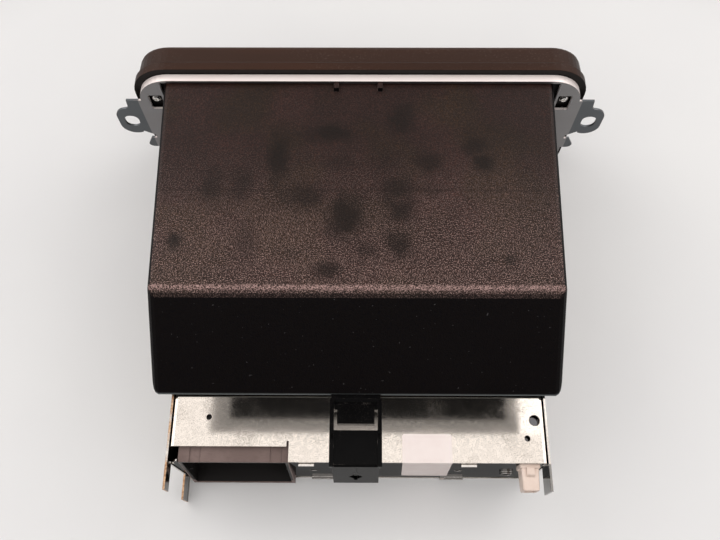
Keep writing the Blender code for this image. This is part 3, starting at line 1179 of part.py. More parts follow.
def make_connector():
    front = CHASSIS_BACK - CONNECTOR_DEPTH
    side = [(front, CONNECTOR_BOTTOM), (CHASSIS_BACK + CONNECTOR_LIP, CONNECTOR_BOTTOM),
            (CHASSIS_BACK + CONNECTOR_LIP, CONNECTOR_BOTTOM + CONNECTOR_WALL),
            (CHASSIS_BACK - GAP, CONNECTOR_TOP), (front, CONNECTOR_TOP)]
    header = plate("connector_header", "side", [side], CONNECTOR_LOW_X, CONNECTOR_HIGH_X,
                   "connector_plastic")
    wall = CONNECTOR_WALL
    floor = CHASSIS_BACK - CONNECTOR_CAVITY
    low = (CONNECTOR_LOW_X + wall, floor, CONNECTOR_BOTTOM + wall)
    high = (CONNECTOR_HIGH_X - wall, CHASSIS_BACK + 2 * OVERRUN + CONNECTOR_LIP, CONNECTOR_TOP - wall)
    width = CONNECTOR_HIGH_X - CONNECTOR_LOW_X
    grooves = [block(f"connector_groove_{i}",
                     (CONNECTOR_LOW_X + width * start, front - OVERRUN, CONNECTOR_TOP - CONNECTOR_GROOVE),
                     (CONNECTOR_LOW_X + width * end, CHASSIS_BACK + OVERRUN, CONNECTOR_TOP + OVERRUN))
               for i, (start, end) in enumerate(CONNECTOR_GROOVE_SHARES)]
    cut(header, block("connector_cavity", low, high), gather("connector_grooves", grooves))
    middle = (low[2] + high[2]) / 2
    keys = [block(f"connector_key_{i}", (x, floor - BITE, middle - CONNECTOR_KEY),
                  (x + CONNECTOR_KEY + BITE, CHASSIS_BACK - GAP, middle + CONNECTOR_KEY))
            for i, x in enumerate((low[0] - BITE, high[0] - CONNECTOR_KEY))]
    join(header, gather("connector_keys", keys))

    base = low[1] + GAP
    carrier = block("connector_pins", (low[0] + GAP + CONNECTOR_KEY, base, low[2] + GAP),
                    (high[0] - GAP - CONNECTOR_KEY, base + SHEET, high[2] - GAP), "soft_black")
    left, right = low[0] + 2 * CONNECTOR_KEY, high[0] - 2 * CONNECTOR_KEY
    pins = []

    def field(rows, columns, size, length, from_z, to_z):
        for row in range(rows):
            for column in range(columns):
                x = left + (right - left) * (column + 0.5) / columns
                z = from_z + (to_z - from_z) * (row + 0.5) / rows
                pins.append(block(f"pin_{len(pins)}", (x - size[0] / 2, base + BITE, z - size[1] / 2),
                                  (x + size[0] / 2, base + SHEET + length, z + size[1] / 2)))

    field(BLADE_ROW_COUNT, BLADE_COLUMN_COUNT, BLADE_SIZE, BLADE_LENGTH, low[2] + wall, middle - wall)
    field(PIN_ROW_COUNT, PIN_COLUMN_COUNT, (PIN_SIDE, PIN_SIDE), PIN_LENGTH, middle + wall, high[2] - wall)
    join(carrier, gather("header_pins", pins))


def make_antenna():
    top = CHASSIS_TOP - ANTENNA_DROP
    root = BACK_FACE - SHEET - BITE

    def ring(y, width, height):
        return [(x + ANTENNA_X, y, z) for x, z in
                rounded((-width / 2, top - (ANTENNA_HEIGHT + height) / 2),
                        (width / 2, top - (ANTENNA_HEIGHT - height) / 2), ANTENNA_WALL / 2, 2)]

    shrink = ANTENNA_WIDTH - ANTENNA_TIP_WIDTH
    tip = BACK_FACE + ANTENNA_LENGTH
    socket = loft("antenna_socket", [ring(root, ANTENNA_WIDTH, ANTENNA_HEIGHT),
                                     ring(tip - ANTENNA_COLLAR, ANTENNA_TIP_WIDTH, ANTENNA_HEIGHT - shrink),
                                     ring(tip, ANTENNA_TIP_WIDTH - ANTENNA_COLLAR,
                                          ANTENNA_HEIGHT - shrink - ANTENNA_COLLAR)], "cream_plastic")
    collar = loft("antenna_collar", [ring(y, ANTENNA_WIDTH + 2 * ANTENNA_COLLAR,
                                          ANTENNA_HEIGHT + 2 * ANTENNA_COLLAR)
                                     for y in (BACK_FACE + GAP, BACK_FACE + GAP + ANTENNA_COLLAR_LENGTH)])
    latch = plate("antenna_latch", "side",
                  [[(BACK_FACE + ANTENNA_COLLAR_LENGTH, top - ANTENNA_WALL),
                    (BACK_FACE + ANTENNA_COLLAR_LENGTH, top + LATCH_HEIGHT),
                    (BACK_FACE + LATCH_LENGTH * LATCH_CREST_SHARE, top + LATCH_HEIGHT),
                    (BACK_FACE + LATCH_LENGTH, top - ANTENNA_WALL)]],
                  ANTENNA_X - LATCH_WIDTH / 2, ANTENNA_X + LATCH_WIDTH / 2)
    join(socket, collar, latch)
    half = ANTENNA_TIP_WIDTH / 2 - ANTENNA_WALL
    rise = (ANTENNA_HEIGHT - shrink) / 2 - ANTENNA_WALL
    middle = top - ANTENNA_HEIGHT / 2
    cut(socket, block("antenna_cavity", (ANTENNA_X - half, tip - ANTENNA_CAVITY, middle - rise),
                      (ANTENNA_X + half, tip + OVERRUN, middle + rise)))
    join(socket, rod("antenna_pin", (ANTENNA_X, tip - ANTENNA_CAVITY - BITE, middle), BACKWARD,
                     ANTENNA_PIN_LENGTH + BITE, ANTENNA_PIN_RADIUS, steps=8))
    back = root - GAP
    can = block("tuner_can", (ANTENNA_X - TUNER_THICK / 2, back - TUNER_LENGTH, BOARD_TOP + GAP),
                (ANTENNA_X + TUNER_THICK / 2, back, CHASSIS_TOP - SHEET - TUNER_ROOM), "galvanised")
    soften(can, TUNER_EDGE)


def make_main_board():
    half = BOARD_WIDTH / 2
    low, high = CHASSIS_FRONT + BOARD_FRONT_INSET, CHASSIS_BACK - BOARD_BACK_INSET - BACK_INSET
    leg = DECK_WIDTH / 2 - GAP - SHEET
    outline = [(half, low + LEG_NOTCH), (half, DECK_BACK - LEG_NOTCH), (leg, DECK_BACK - LEG_NOTCH),
               (leg, DECK_BACK + GAP), (half, DECK_BACK + GAP), (half, high)]
    outline = [(leg, low), (leg, low + LEG_NOTCH)] + outline
    outline = outline + mirrored(outline)
    board = plate("main_board", "top", [outline], BOARD_BOTTOM, BOARD_TOP, "board_green")
    posts = []
    for x in (STANDOFF_INSET - half, half - STANDOFF_INSET):
        for y in (low + 2 * LEG_NOTCH, high - LEG_NOTCH):
            posts.append(rod(f"standoff_{len(posts)}", (x, y, TRAY_FLOOR + GAP), UP,
                             BOARD_LIFT - GAP + BITE, STANDOFF_RADIUS, steps=12))
    join(board, gather("board_standoffs", posts))


def make_board_parts():
    first = ANTENNA_X + TUNER_THICK / 2 + CAPACITOR_GAP + CAPACITOR_RADIUS
    for i in range(CAPACITOR_COUNT):
        x = first + i * CAPACITOR_PITCH
        edge = CAPACITOR_EDGE
        profile = [(0, CAPACITOR_HEIGHT), (CAPACITOR_RADIUS - 2 * edge, CAPACITOR_HEIGHT),
                   (CAPACITOR_RADIUS, CAPACITOR_HEIGHT - edge), (CAPACITOR_RADIUS, 4 * edge),
                   (CAPACITOR_RADIUS - edge, 3 * edge), (CAPACITOR_RADIUS, 2 * edge),
                   (CAPACITOR_RADIUS, 0), (0, 0)]
        turned(f"filter_capacitor_{i + 1}", profile,
               Vector((x, CHASSIS_BACK - CAPACITOR_INSET, BOARD_TOP + GAP)), UP, "blue_sleeve", steps=20)
    face = BACK_FACE - SHEET - GAP
    half = SPREADER_WIDTH / 2
    bottom = BOARD_TOP + GAP
    spreader = block("heat_spreader", (CHIP_X - half, face - SPREADER_BASE, bottom),
                     (CHIP_X + half, face, bottom + SPREADER_HEIGHT), "aluminium")
    fins = []
    pitch = SPREADER_HEIGHT / 2 / SPREADER_FIN_COUNT
    fin_root = face - SPREADER_BASE + BITE
    fin_tip = face - SPREADER_BASE - SPREADER_FIN_DEPTH
    for i in range(SPREADER_FIN_COUNT):
        z = bottom + SPREADER_HEIGHT - i * pitch
        fins.append(block(f"fin_{i}", (CHIP_X - half + BITE, fin_tip, z - SPREADER_FIN),
                          (CHIP_X + half - BITE, fin_root, z - BITE / 5)))
    join(spreader, gather("spreader_fins", fins))
    width, thick, height = CHIP_SIZE
    chip_low = bottom + CHIP_LEG_LENGTH
    chip_back = face - SPREADER_BASE - GAP
    chip = block("amplifier_chip", (CHIP_X - width / 2, chip_back - thick, chip_low),
                 (CHIP_X + width / 2, chip_back, chip_low + height), "soft_black")
    legs = []
    for i in range(CHIP_LEG_COUNT):
        x = CHIP_X + width * ((i + 0.5) / CHIP_LEG_COUNT - 0.5)
        legs.append(block(f"chip_leg_{i}", (x - CHIP_LEG / 2, chip_back - thick / 2 - CHIP_LEG / 2, bottom),
                          (x + CHIP_LEG / 2, chip_back - thick / 2 + CHIP_LEG / 2, chip_low + BITE)))
    join(chip, gather("chip_legs", legs))


def make_deck():
    half = DECK_WIDTH / 2
    lid_top = DECK_CEILING
    profile = ([(-half, lid_top)] + bend_points((-half, DECK_FLOOR_Z), (0, 1), (1, 0))
               + bend_points((half, DECK_FLOOR_Z), (-1, 0), (0, 1)) + [(half, lid_top)])
    base = folded("deck_base", profile, DECK_FRONT, DECK_BACK, SHEET, "galvanised")
    legs = []
    for side in (-1, 1):
        for y in (DECK_FRONT, DECK_BACK - DECK_LEG_WIDTH):
            inner, outer = side * (half - SHEET), side * half
            legs.append(block(f"deck_leg_{len(legs)}", (min(inner, outer), y, TRAY_FLOOR + GAP),
                              (max(inner, outer), y + DECK_LEG_WIDTH, DECK_FLOOR_Z + 2 * SHEET_BEND)))
    rod_z = sled_rod_z()
    lugs = []
    for y in sled_rod_stations():
        x = SLED_START - LUG_WIDTH - 2 * GAP
        lugs.append(block(f"rod_lug_{len(lugs)}", (x, y - LUG_HEIGHT_OVER_ROD, DECK_FLOOR_Z + SHEET - BITE),
                          (x + LUG_WIDTH, y + LUG_HEIGHT_OVER_ROD, rod_z + LUG_HEIGHT_OVER_ROD)))
    join(base, gather("deck_legs", legs), gather("rod_lugs", lugs))
    bores = [rod(f"rod_bore_{i}", (SLED_START - LUG_WIDTH - OVERRUN, y, rod_z), SIDEWAYS,
                 LUG_WIDTH + OVERRUN, ROD_RADIUS + GAP, steps=12)
             for i, y in enumerate(sled_rod_stations())]
    shaft_y, shaft_z = roller_axis()
    bores += [rod(f"roller_bore_{side}", (side * (half + OVERRUN), shaft_y, shaft_z), SIDEWAYS * -side,
                  2 * OVERRUN, ROLLER_SHAFT_RADIUS + GAP, steps=12) for side in (-1, 1)]
    bores.append(block("spindle_window", (-MOTOR_NECK_RADIUS, SPINDLE_Y - MOTOR_NECK_RADIUS,
                                          DECK_FLOOR_Z - OVERRUN),
                       (MOTOR_NECK_RADIUS, SPINDLE_Y + MOTOR_NECK_RADIUS, DECK_FLOOR_Z + OVERRUN)))
    cut(base, gather("deck_bores", bores))

    inner = half - SHEET - GAP
    flange_front = DECK_FRONT + DECK_BRIDGE_DEPTH + ROLLER_INSET
    cover = plate("deck_cover", "top", [
        rectangle((-inner, DECK_FRONT), (inner, DECK_BACK)),
        rectangle((-ARM_WIDTH, SPINDLE_Y - CLAMP_RADIUS - SHEET),
                  (ARM_WIDTH, SPINDLE_Y + ARM_TAIL + 2 * SHEET))],
                  lid_top - SHEET, lid_top, "galvanised")
    flanges = [block(f"deck_cover_flange_{side}",
                     (min(side * inner, side * (inner - SHEET)), flange_front, lid_top - 3 * SHEET),
                     (max(side * inner, side * (inner - SHEET)), DECK_BACK, lid_top - SHEET / 2))
               for side in (-1, 1)]
    pivot_y, pivot_z = SPINDLE_Y + ARM_TAIL, lid_top - SHEET + ARM_PLATE / 2
    reach = 2 * ARM_PIVOT_RADIUS
    bearings, bores = [], []
    for side in (-1, 1):
        near, far = side * (ARM_WIDTH - BITE), side * (ARM_PIVOT_HALF + BITE + SHEET)
        bearings.append(block(f"arm_bearing_{side}", (min(near, far), pivot_y - reach, pivot_z - reach),
                              (max(near, far), pivot_y + reach, pivot_z + reach * ARM_BEARING_SHARE)))
        bores.append(rod(f"arm_bearing_bore_{side}", (near - side * OVERRUN, pivot_y, pivot_z),
                         SIDEWAYS * side, ARM_PIVOT_HALF + GAP + OVERRUN - ARM_WIDTH + BITE,
                         ARM_PIVOT_RADIUS + GAP, steps=12))
    join(cover, gather("deck_cover_flanges", flanges), gather("arm_bearings", bearings))
    cut(cover, gather("arm_bearing_bores", bores))


def roller_axis():
    return DECK_FRONT + ROLLER_INSET, DISC_Z - DISC_HALF_THICK - GAP - ROLLER_RADIUS


def sled_rod_z():
    return DECK_FLOOR_Z + SHEET + GAP + SLED_THICK / 2 + ROD_RADIUS


def sled_rod_stations():
    return (SPINDLE_Y - ROD_SPREAD, SPINDLE_Y + ROD_SPREAD)


def make_deck_parts():
    shaft_y, shaft_z = roller_axis()
    end = DECK_WIDTH / 2 - GAP
    length = DECK_WIDTH - 2 * ROLLER_SIDE_ROOM
    profile = [(0, end), (ROLLER_SHAFT_RADIUS, end), (ROLLER_SHAFT_RADIUS, length / 2),
               (ROLLER_RADIUS, length / 2), (ROLLER_WAIST, 0), (ROLLER_RADIUS, -length / 2),
               (ROLLER_SHAFT_RADIUS, -length / 2), (ROLLER_SHAFT_RADIUS, -end), (0, -end)]
    turned("feed_roller", profile, Vector((0, shaft_y, shaft_z)), SIDEWAYS, "rubber_black", steps=16)

    floor = DECK_FLOOR_Z + SHEET
    motor = rod("spindle_motor", (0, SPINDLE_Y, floor + GAP), UP, MOTOR_HEIGHT, MOTOR_RADIUS, "zinc")
    table_top = DISC_Z - DISC_HALF_THICK - GAP
    table_low = table_top - TURNTABLE_THICK
    neck_top = floor + GAP + MOTOR_HEIGHT + MOTOR_NECK_HEIGHT
    neck = rod("motor_neck", (0, SPINDLE_Y, floor + GAP + MOTOR_HEIGHT - BITE), UP,
               MOTOR_NECK_HEIGHT + BITE, MOTOR_NECK_RADIUS)
    spindle_end = table_low + TURNTABLE_THICK / 2
    spindle = rod("motor_spindle", (0, SPINDLE_Y, neck_top - BITE), UP, spindle_end - neck_top + BITE,
                  SPINDLE_RADIUS, steps=12)
    join(motor, neck, spindle)
    hub, cone = TURNTABLE_HUB_RADIUS, TURNTABLE_CONE
    profile = [(0, TURNTABLE_HUB_HEIGHT), (hub - cone, TURNTABLE_HUB_HEIGHT), (hub, 0),
               (TURNTABLE_RADIUS, 0), (TURNTABLE_RADIUS, -TURNTABLE_THICK),
               (MOTOR_NECK_RADIUS, -TURNTABLE_THICK),
               (MOTOR_NECK_RADIUS / 2, neck_top + GAP - table_top), (0, neck_top + GAP - table_top)]
    table = turned("turntable", profile, Vector((0, SPINDLE_Y, table_top)), UP, "soft_black")
    cut(table, rod("turntable_bore", (0, SPINDLE_Y, neck_top - OVERRUN), UP,
                   spindle_end + GAP - neck_top + OVERRUN, SPINDLE_RADIUS + SPINDLE_PLAY, steps=12))

    rod_z = sled_rod_z()
    rods_end = DECK_WIDTH / 2 - SHEET - GAP
    start = SLED_START - LUG_WIDTH - GAP
    for word, y in zip(("front", "rear"), sled_rod_stations()):
        rod(f"guide_rod_{word}", (start, y, rod_z), SIDEWAYS, rods_end - start, ROD_RADIUS, "zinc",
            steps=12)
    sled = block("laser_sled", (SLED_START, SPINDLE_Y - SLED_WIDTH / 2, rod_z - SLED_THICK / 2),
                 (SLED_START + SLED_LENGTH, SPINDLE_Y + SLED_WIDTH / 2, rod_z + SLED_THICK / 2),
                 "soft_black")
    soften(sled, 2 * BITE, 1)
    lens = rod("sled_lens", (SLED_START + SLED_LENGTH / 2, SPINDLE_Y, rod_z + SLED_THICK / 2 - BITE), UP,
               LENS_HEIGHT + BITE, LENS_RADIUS, steps=16)
    join(sled, lens)
    cut(sled, gather("sled_bores", [rod(f"sled_bore_{i}", (SLED_START - OVERRUN, y, rod_z), SIDEWAYS,
                                        SLED_LENGTH + 2 * OVERRUN, ROD_RADIUS + ROD_PLAY, steps=12)
                                    for i, y in enumerate(sled_rod_stations())]))

    feed = rod("feed_motor", (FEED_MOTOR_X, DECK_FRONT + FEED_MOTOR_INSET, floor + GAP + FEED_MOTOR_RADIUS),
               BACKWARD, FEED_MOTOR_LENGTH, FEED_MOTOR_RADIUS, "zinc", steps=20)
    boss = rod("feed_motor_boss", (FEED_MOTOR_X, DECK_FRONT + FEED_MOTOR_INSET - SHEET,
                                   floor + GAP + FEED_MOTOR_RADIUS), BACKWARD, SHEET + BITE,
               FEED_MOTOR_RADIUS / 2, steps=12)
    join(feed, boss)

    arm_low = DECK_CEILING - SHEET
    pivot_y = SPINDLE_Y + ARM_TAIL
    tip_y = SPINDLE_Y - CLAMP_RADIUS / 2
    outline = rounded((-ARM_WIDTH / 2, tip_y), (ARM_WIDTH / 2, pivot_y), ARM_PLATE, 2)
    arm = plate("clamp_arm", "top", [outline], arm_low, arm_low + ARM_PLATE, "zinc")
    pivot = rod("arm_pivot", (-ARM_PIVOT_HALF, pivot_y, arm_low + ARM_PLATE / 2), SIDEWAYS,
                2 * ARM_PIVOT_HALF, ARM_PIVOT_RADIUS, steps=12)
    join(arm, pivot)
    cut(arm, rod("arm_hole", (0, SPINDLE_Y, arm_low - OVERRUN), UP, ARM_PLATE + 2 * OVERRUN,
                 CLAMP_PIN_RADIUS + GAP, steps=16))
    top = arm_low + ARM_PLATE + GAP
    profile = [(0, CLAMP_HEAD_HEIGHT), (CLAMP_HEAD_RADIUS, CLAMP_HEAD_HEIGHT), (CLAMP_HEAD_RADIUS, 0),
               (CLAMP_PIN_RADIUS, 0), (CLAMP_PIN_RADIUS, -ARM_PLATE - 2 * GAP),
               (CLAMP_RADIUS, -ARM_PLATE - 2 * GAP),
               (CLAMP_RADIUS, -ARM_PLATE - 2 * GAP - CLAMP_THICK),
               (0, -ARM_PLATE - 2 * GAP - CLAMP_THICK)]
    turned("clamp_disc", profile, Vector((0, SPINDLE_Y, top)), UP, "soft_black")


MATERIAL_LOOKS = {
    "black_plastic": ((0.030, 0.026, 0.024), 0.45, 0.0),
    "grained_plastic": ((0.036, 0.028, 0.025), 0.55, 0.0),
    "gloss_black": ((0.012, 0.012, 0.013), 0.15, 0.0),
    "soft_black": ((0.028, 0.028, 0.030), 0.6, 0.0),
    "rubber_black": ((0.02, 0.02, 0.02), 0.85, 0.0),
    "frame_steel": ((0.60, 0.61, 0.61), 0.40, 0.6),
    "galvanised": ((0.72, 0.70, 0.66), 0.35, 0.9),
    "zinc": ((0.72, 0.73, 0.74), 0.28, 1.0),
    "aluminium": ((0.75, 0.76, 0.77), 0.35, 1.0),
    "connector_plastic": ((0.10, 0.085, 0.080), 0.5, 0.0),
    "cream_plastic": ((0.72, 0.60, 0.52), 0.45, 0.0),
    "board_green": ((0.03, 0.14, 0.06), 0.5, 0.0),
    "blue_sleeve": ((0.03, 0.05, 0.16), 0.4, 0.0),
    "display_glass": ((0.02, 0.03, 0.035), 0.08, 0.0),
}

for old in list(bpy.data.objects):
    bpy.data.objects.remove(old, do_unlink=True)
PARTS = bpy.data.collections.new("Car radio")
TOOLS = bpy.data.collections.new("Cutters")
for group in (PARTS, TOOLS):
    bpy.context.scene.collection.children.link(group)
HOME = bpy.data.objects.new("car_radio", None)
PARTS.objects.link(HOME)
MATERIALS = {name: make_material(name, *look) for name, look in MATERIAL_LOOKS.items()}

make_bezel()
make_panel()
make_display()
make_buttons()
make_knob("volume_knob", "volume_switch", -1)
make_knob("tuning_knob", "tuning_switch", 1)
make_front_board()
make_frame()
make_pocket()
make_clip()
make_screws()
make_tray()
make_cover()
make_back_wall()
make_connector()
make_antenna()
make_main_board()
make_board_parts()
make_deck()
make_deck_parts()
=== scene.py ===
# %% [markdown]
# # A car radio with a storage pocket, seen from behind
#
# The shape of the radio is already made: every CAD node comes in as a mesh that stays where it is.
# This lesson gives it what a shape alone doesn't have: the grain of the black plastic, the crystals
# and stains of the zinc-coated sheet, the sticker on its edge and the printed marks on its keys.
# The first cell loads the nodes, and a helper gives the box of any node.

# %% Load the radio
import math

import bpy
from mathutils import Matrix, Vector


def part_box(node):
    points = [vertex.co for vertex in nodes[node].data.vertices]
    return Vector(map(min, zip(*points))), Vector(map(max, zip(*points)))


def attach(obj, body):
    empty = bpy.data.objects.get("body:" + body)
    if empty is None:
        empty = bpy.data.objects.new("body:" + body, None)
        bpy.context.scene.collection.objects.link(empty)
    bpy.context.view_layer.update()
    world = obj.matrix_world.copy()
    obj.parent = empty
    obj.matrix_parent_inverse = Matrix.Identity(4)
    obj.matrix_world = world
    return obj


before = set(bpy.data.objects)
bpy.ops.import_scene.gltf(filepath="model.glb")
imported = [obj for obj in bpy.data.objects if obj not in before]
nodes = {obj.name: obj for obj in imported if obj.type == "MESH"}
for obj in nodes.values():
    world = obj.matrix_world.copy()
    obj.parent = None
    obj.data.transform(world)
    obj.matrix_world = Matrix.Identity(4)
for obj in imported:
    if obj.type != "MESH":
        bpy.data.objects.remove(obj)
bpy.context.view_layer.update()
scene = bpy.context.scene
scene.view_settings.view_transform = "Standard"

# %% [markdown]
# ## The camera
#
# The picture was taken from above and a little behind the radio, with the connectors towards the
# viewer. Three angles hold such a view: a turn, a dip and a slight roll. Its three axes are worked
# out one by one, because a camera that is aimed with a constraint can't keep a roll.

# %% Place the camera
CAMERA_PLACE = Vector((-0.00318, 0.15809, 0.41108))
TURN, DIP, ROLL = (math.radians(a) for a in (-0.998, 66.823, -0.728))


def from_behind(v):
    """The same direction for somebody who stands behind the radio instead of in front of it."""
    return Vector((-v.x, -v.y, v.z))


forward = Vector((math.sin(TURN) * math.cos(DIP), math.cos(TURN) * math.cos(DIP), -math.sin(DIP)))
level = Vector((math.cos(TURN), -math.sin(TURN), 0))
upright = level.cross(forward)
across = level * math.cos(ROLL) + upright * math.sin(ROLL)
rising = upright * math.cos(ROLL) - level * math.sin(ROLL)
axes = [from_behind(across), from_behind(rising), -from_behind(forward)]
camera_data = bpy.data.cameras.new("camera")
camera_data.lens = 38
camera_data.sensor_width = 36
camera_data.clip_start = 0.01
camera = bpy.data.objects.new("camera", camera_data)
scene.collection.objects.link(camera)
camera.matrix_world = Matrix.Translation(CAMERA_PLACE) @ Matrix(axes).transposed().to_4x4()
scene.camera = camera
print("the camera looks along", [round(v, 3) for v in -axes[2]])

# %% [markdown]
# ## The table
#
# The bezel is taller than the chassis, so a loose radio lies on the bezel's lower edge and on the
# back end of its chassis, and leans back by one degree. The radio stays level here, so the table
# gets that degree: it is laid through those two edges. It is pale and nearly matt, with a faint
# unevenness, so that it takes a soft shadow.

# %% Lay the table
BEZEL_ROUNDING = 0.004
TABLE_SIZE = 12
front_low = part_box("front_bezel")[0]
chassis_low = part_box("chassis_tray")
front_edge = Vector((0, front_low.y + BEZEL_ROUNDING, front_low.z))
back_edge = Vector((0, chassis_low[1].y, chassis_low[0].z))
lean = math.atan2(back_edge.z - front_edge.z, back_edge.y - front_edge.y)
bpy.ops.object.select_all(action="DESELECT")
bpy.ops.mesh.primitive_plane_add(size=TABLE_SIZE, location=front_edge, rotation=(lean, 0, 0))
table = bpy.context.object
table.name = "table"
bpy.ops.object.transform_apply(location=True, rotation=True, scale=True)
print("the table leans by", round(math.degrees(lean), 2), "degrees")

# %% [markdown]
# ## The light
#
# Polished zinc shows whatever hangs above it, so the lamps are chosen for their picture in the
# metal as well as for their light. Soft panels hang level over the radio and leave a gap between
# them. The bright sheet behind the pocket mirrors the back panel, and next to the pocket it
# mirrors the gap, which gives the dark field with its grey border. The black plastics mirror the
# panels in front, so those get dimmer away from the gap. A weak lamp in front lights the keys.

# %% Hang the lamps
PANEL_HEIGHT = 1.0
WARM_WHITE = (1.0, 0.965, 0.94)
BACK, FRONT, FRONT_MIDDLE = 1.3, -1.3, -0.52
WIDE, MIDDLE = 2.2, 0.50
GAP_BACK, GAP_FRONT, GAP_RIGHT, GAP_LEFT = -0.120, -0.340, -0.248, 0.229
RIM_BACK, RIM_RIGHT, RIM_LEFT = -0.096, -0.268, 0.262
SIDE_GLOW, RIM_GLOW = 2.3, 0.30


def soft_panel(name, low, high, glow):
    """A level panel of light between two corners; its glow is its brightness, where 1 is white."""
    lamp = bpy.data.lights.new(name, "AREA")
    lamp.shape = "RECTANGLE"
    lamp.size = high[0] - low[0]
    lamp.size_y = high[1] - low[1]
    lamp.color = WARM_WHITE
    lamp.energy = math.pi * lamp.size * lamp.size_y * glow
    panel = bpy.data.objects.new(name, lamp)
    panel.location = ((low[0] + high[0]) / 2, (low[1] + high[1]) / 2, PANEL_HEIGHT)
    panel.visible_camera = False
    scene.collection.objects.link(panel)
    return panel


soft_panel("panel_back", (-WIDE, RIM_BACK), (WIDE, BACK), 1.30)
soft_panel("panel_front_near", (-MIDDLE, FRONT_MIDDLE), (MIDDLE, GAP_FRONT), 1.5)
soft_panel("panel_front_far", (-MIDDLE, FRONT), (MIDDLE, FRONT_MIDDLE), 0.26)
soft_panel("panel_right", (-WIDE, FRONT), (-MIDDLE, RIM_BACK), SIDE_GLOW)
soft_panel("panel_left", (MIDDLE, FRONT), (WIDE, RIM_BACK), SIDE_GLOW)
soft_panel("beside_gap_right", (-MIDDLE, GAP_FRONT), (RIM_RIGHT, RIM_BACK), 1.8)
soft_panel("beside_gap_left", (RIM_LEFT, GAP_FRONT), (MIDDLE, RIM_BACK), 1.3)
soft_panel("rim_back", (RIM_RIGHT, GAP_BACK), (RIM_LEFT, RIM_BACK), RIM_GLOW)
soft_panel("rim_right", (RIM_RIGHT, GAP_FRONT), (GAP_RIGHT, GAP_BACK), RIM_GLOW)
soft_panel("rim_left", (GAP_LEFT, GAP_FRONT), (RIM_LEFT, GAP_BACK), RIM_GLOW)
face_lamp = soft_panel("face_lamp", (-0.5, -0.3), (0.5, 0.3), 1.5)
face_lamp.location = (0, -1.5, 0.55)
face_lamp.rotation_euler = (math.radians(72), 0, 0)

# %% [markdown]
# ## Small helpers for materials
#
# A material is a graph of nodes. Short functions keep the cells below readable: they add a node
# and plug its inputs in, do sums, turn a range of values into a mask from 0 to 1, mix two colours
# by a mask, and read a point's place. An input may be a number, a colour or another node's output.

# %% Node helpers
def add(tree, kind, inputs=None, **settings):
    """A node with its settings; each input is a value or another node's output."""
    node = tree.nodes.new("ShaderNode" + kind)
    for name, value in settings.items():
        setattr(node, name, value)
    for name, value in (inputs or {}).items():
        if isinstance(value, bpy.types.NodeSocket):
            tree.links.new(value, node.inputs[name])
        else:
            node.inputs[name].default_value = value
    return node


def calc(tree, operation, first, second=0.0, clamp=False):
    return add(tree, "Math", {0: first, 1: second}, operation=operation, use_clamp=clamp).outputs[0]


def times(tree, first, *others):
    """The product of two or more values: where masks overlap, all of them count."""
    for other in others:
        first = calc(tree, "MULTIPLY", first, other)
    return first


def inverse(tree, value):
    return calc(tree, "SUBTRACT", 1.0, value)


def ramp(tree, value, rise, start):
    """It is start where the value is 0, and rise more than that where the value is 1."""
    return calc(tree, "ADD", times(tree, value, rise), start)


def mask(tree, value, low, high):
    """0 below low, 1 above high, and a smooth step between them."""
    node = add(tree, "MapRange", {"Value": value, "From Min": low, "From Max": high},
               interpolation_type="SMOOTHSTEP")
    return node.outputs[0]


def blend_colours(tree, factor, first, second):
    node = tree.nodes.new("ShaderNodeMix")
    node.data_type = "RGBA"
    for place, value in ((0, factor), (6, first), (7, second)):
        socket = node.inputs[place]
        if isinstance(value, bpy.types.NodeSocket):
            tree.links.new(value, socket)
        else:
            socket.default_value = (*value, 1) if isinstance(value, tuple) else value
    return node.outputs[2]


def new_group(name, inputs, outputs):
    """A node group; inputs are (name, value) and outputs are (name, type)."""
    group = bpy.data.node_groups.new(name, "ShaderNodeTree")
    for label, value in inputs:
        kind = "NodeSocketColor" if isinstance(value, tuple) else "NodeSocketFloat"
        socket = group.interface.new_socket(label, in_out="INPUT", socket_type=kind)
        socket.default_value = (*value, 1) if isinstance(value, tuple) else value
    for label, kind in outputs:
        group.interface.new_socket(label, in_out="OUTPUT", socket_type="NodeSocket" + kind)
    start = group.nodes.new("NodeGroupInput")
    end = group.nodes.new("NodeGroupOutput")
    return group, start.outputs, end.inputs


def use(tree, group, **values):
    """Place a group in a material; its inputs are named with _ for each blank."""
    node = tree.nodes.new("ShaderNodeGroup")
    node.node_tree = group
    for name, value in values.items():
        socket = node.inputs[name.replace("_", " ")]
        if isinstance(value, bpy.types.NodeSocket):
            tree.links.new(value, socket)
        else:
            socket.default_value = value
    return node.outputs


def object_place(tree):
    """A point's place in metres, in the radio's own frame, because its pieces sit at the origin."""
    return add(tree, "TexCoord").outputs["Object"]


def place_parts(tree):
    return add(tree, "SeparateXYZ", {0: object_place(tree)}).outputs


def facing_parts(tree):
    """The X, Y and Z of the direction that a face looks in."""
    return add(tree, "SeparateXYZ", {0: add(tree, "NewGeometry").outputs["Normal"]}).outputs


def noise(tree, scale, detail=2.0, roughness=0.5, stretch=None):
    """Noise on the object's own coordinates; a scale of 1000 has features about 1 mm wide."""
    place = object_place(tree)
    if stretch:
        place = add(tree, "Mapping", {"Vector": place, "Scale": stretch}).outputs[0]
    node = add(tree, "TexNoise", {"Vector": place, "Scale": scale, "Detail": detail,
                                  "Roughness": roughness})
    return node.outputs["Fac"]


print("helpers ready")

# %% [markdown]
# ## The room
#
# From low down the camera looks past the table, so the room behind it is pale for the camera and
# for reflections, and gives hardly any light of its own. A matt black card hangs over the lamps, as
# studios hang one to keep a reflection dark. Without it the metal would mirror the pale room in the
# gap. The camera doesn't see the card.

# %% Build the room
CARD_PLACE, CARD_SIZE = (0, 2.6, PANEL_HEIGHT + 0.05), (7, 6.8, 1)
PALE_ROOM = (0.78, 0.765, 0.755)
world = bpy.data.worlds.new("pale_room")
world.use_nodes = True
scene.world = world


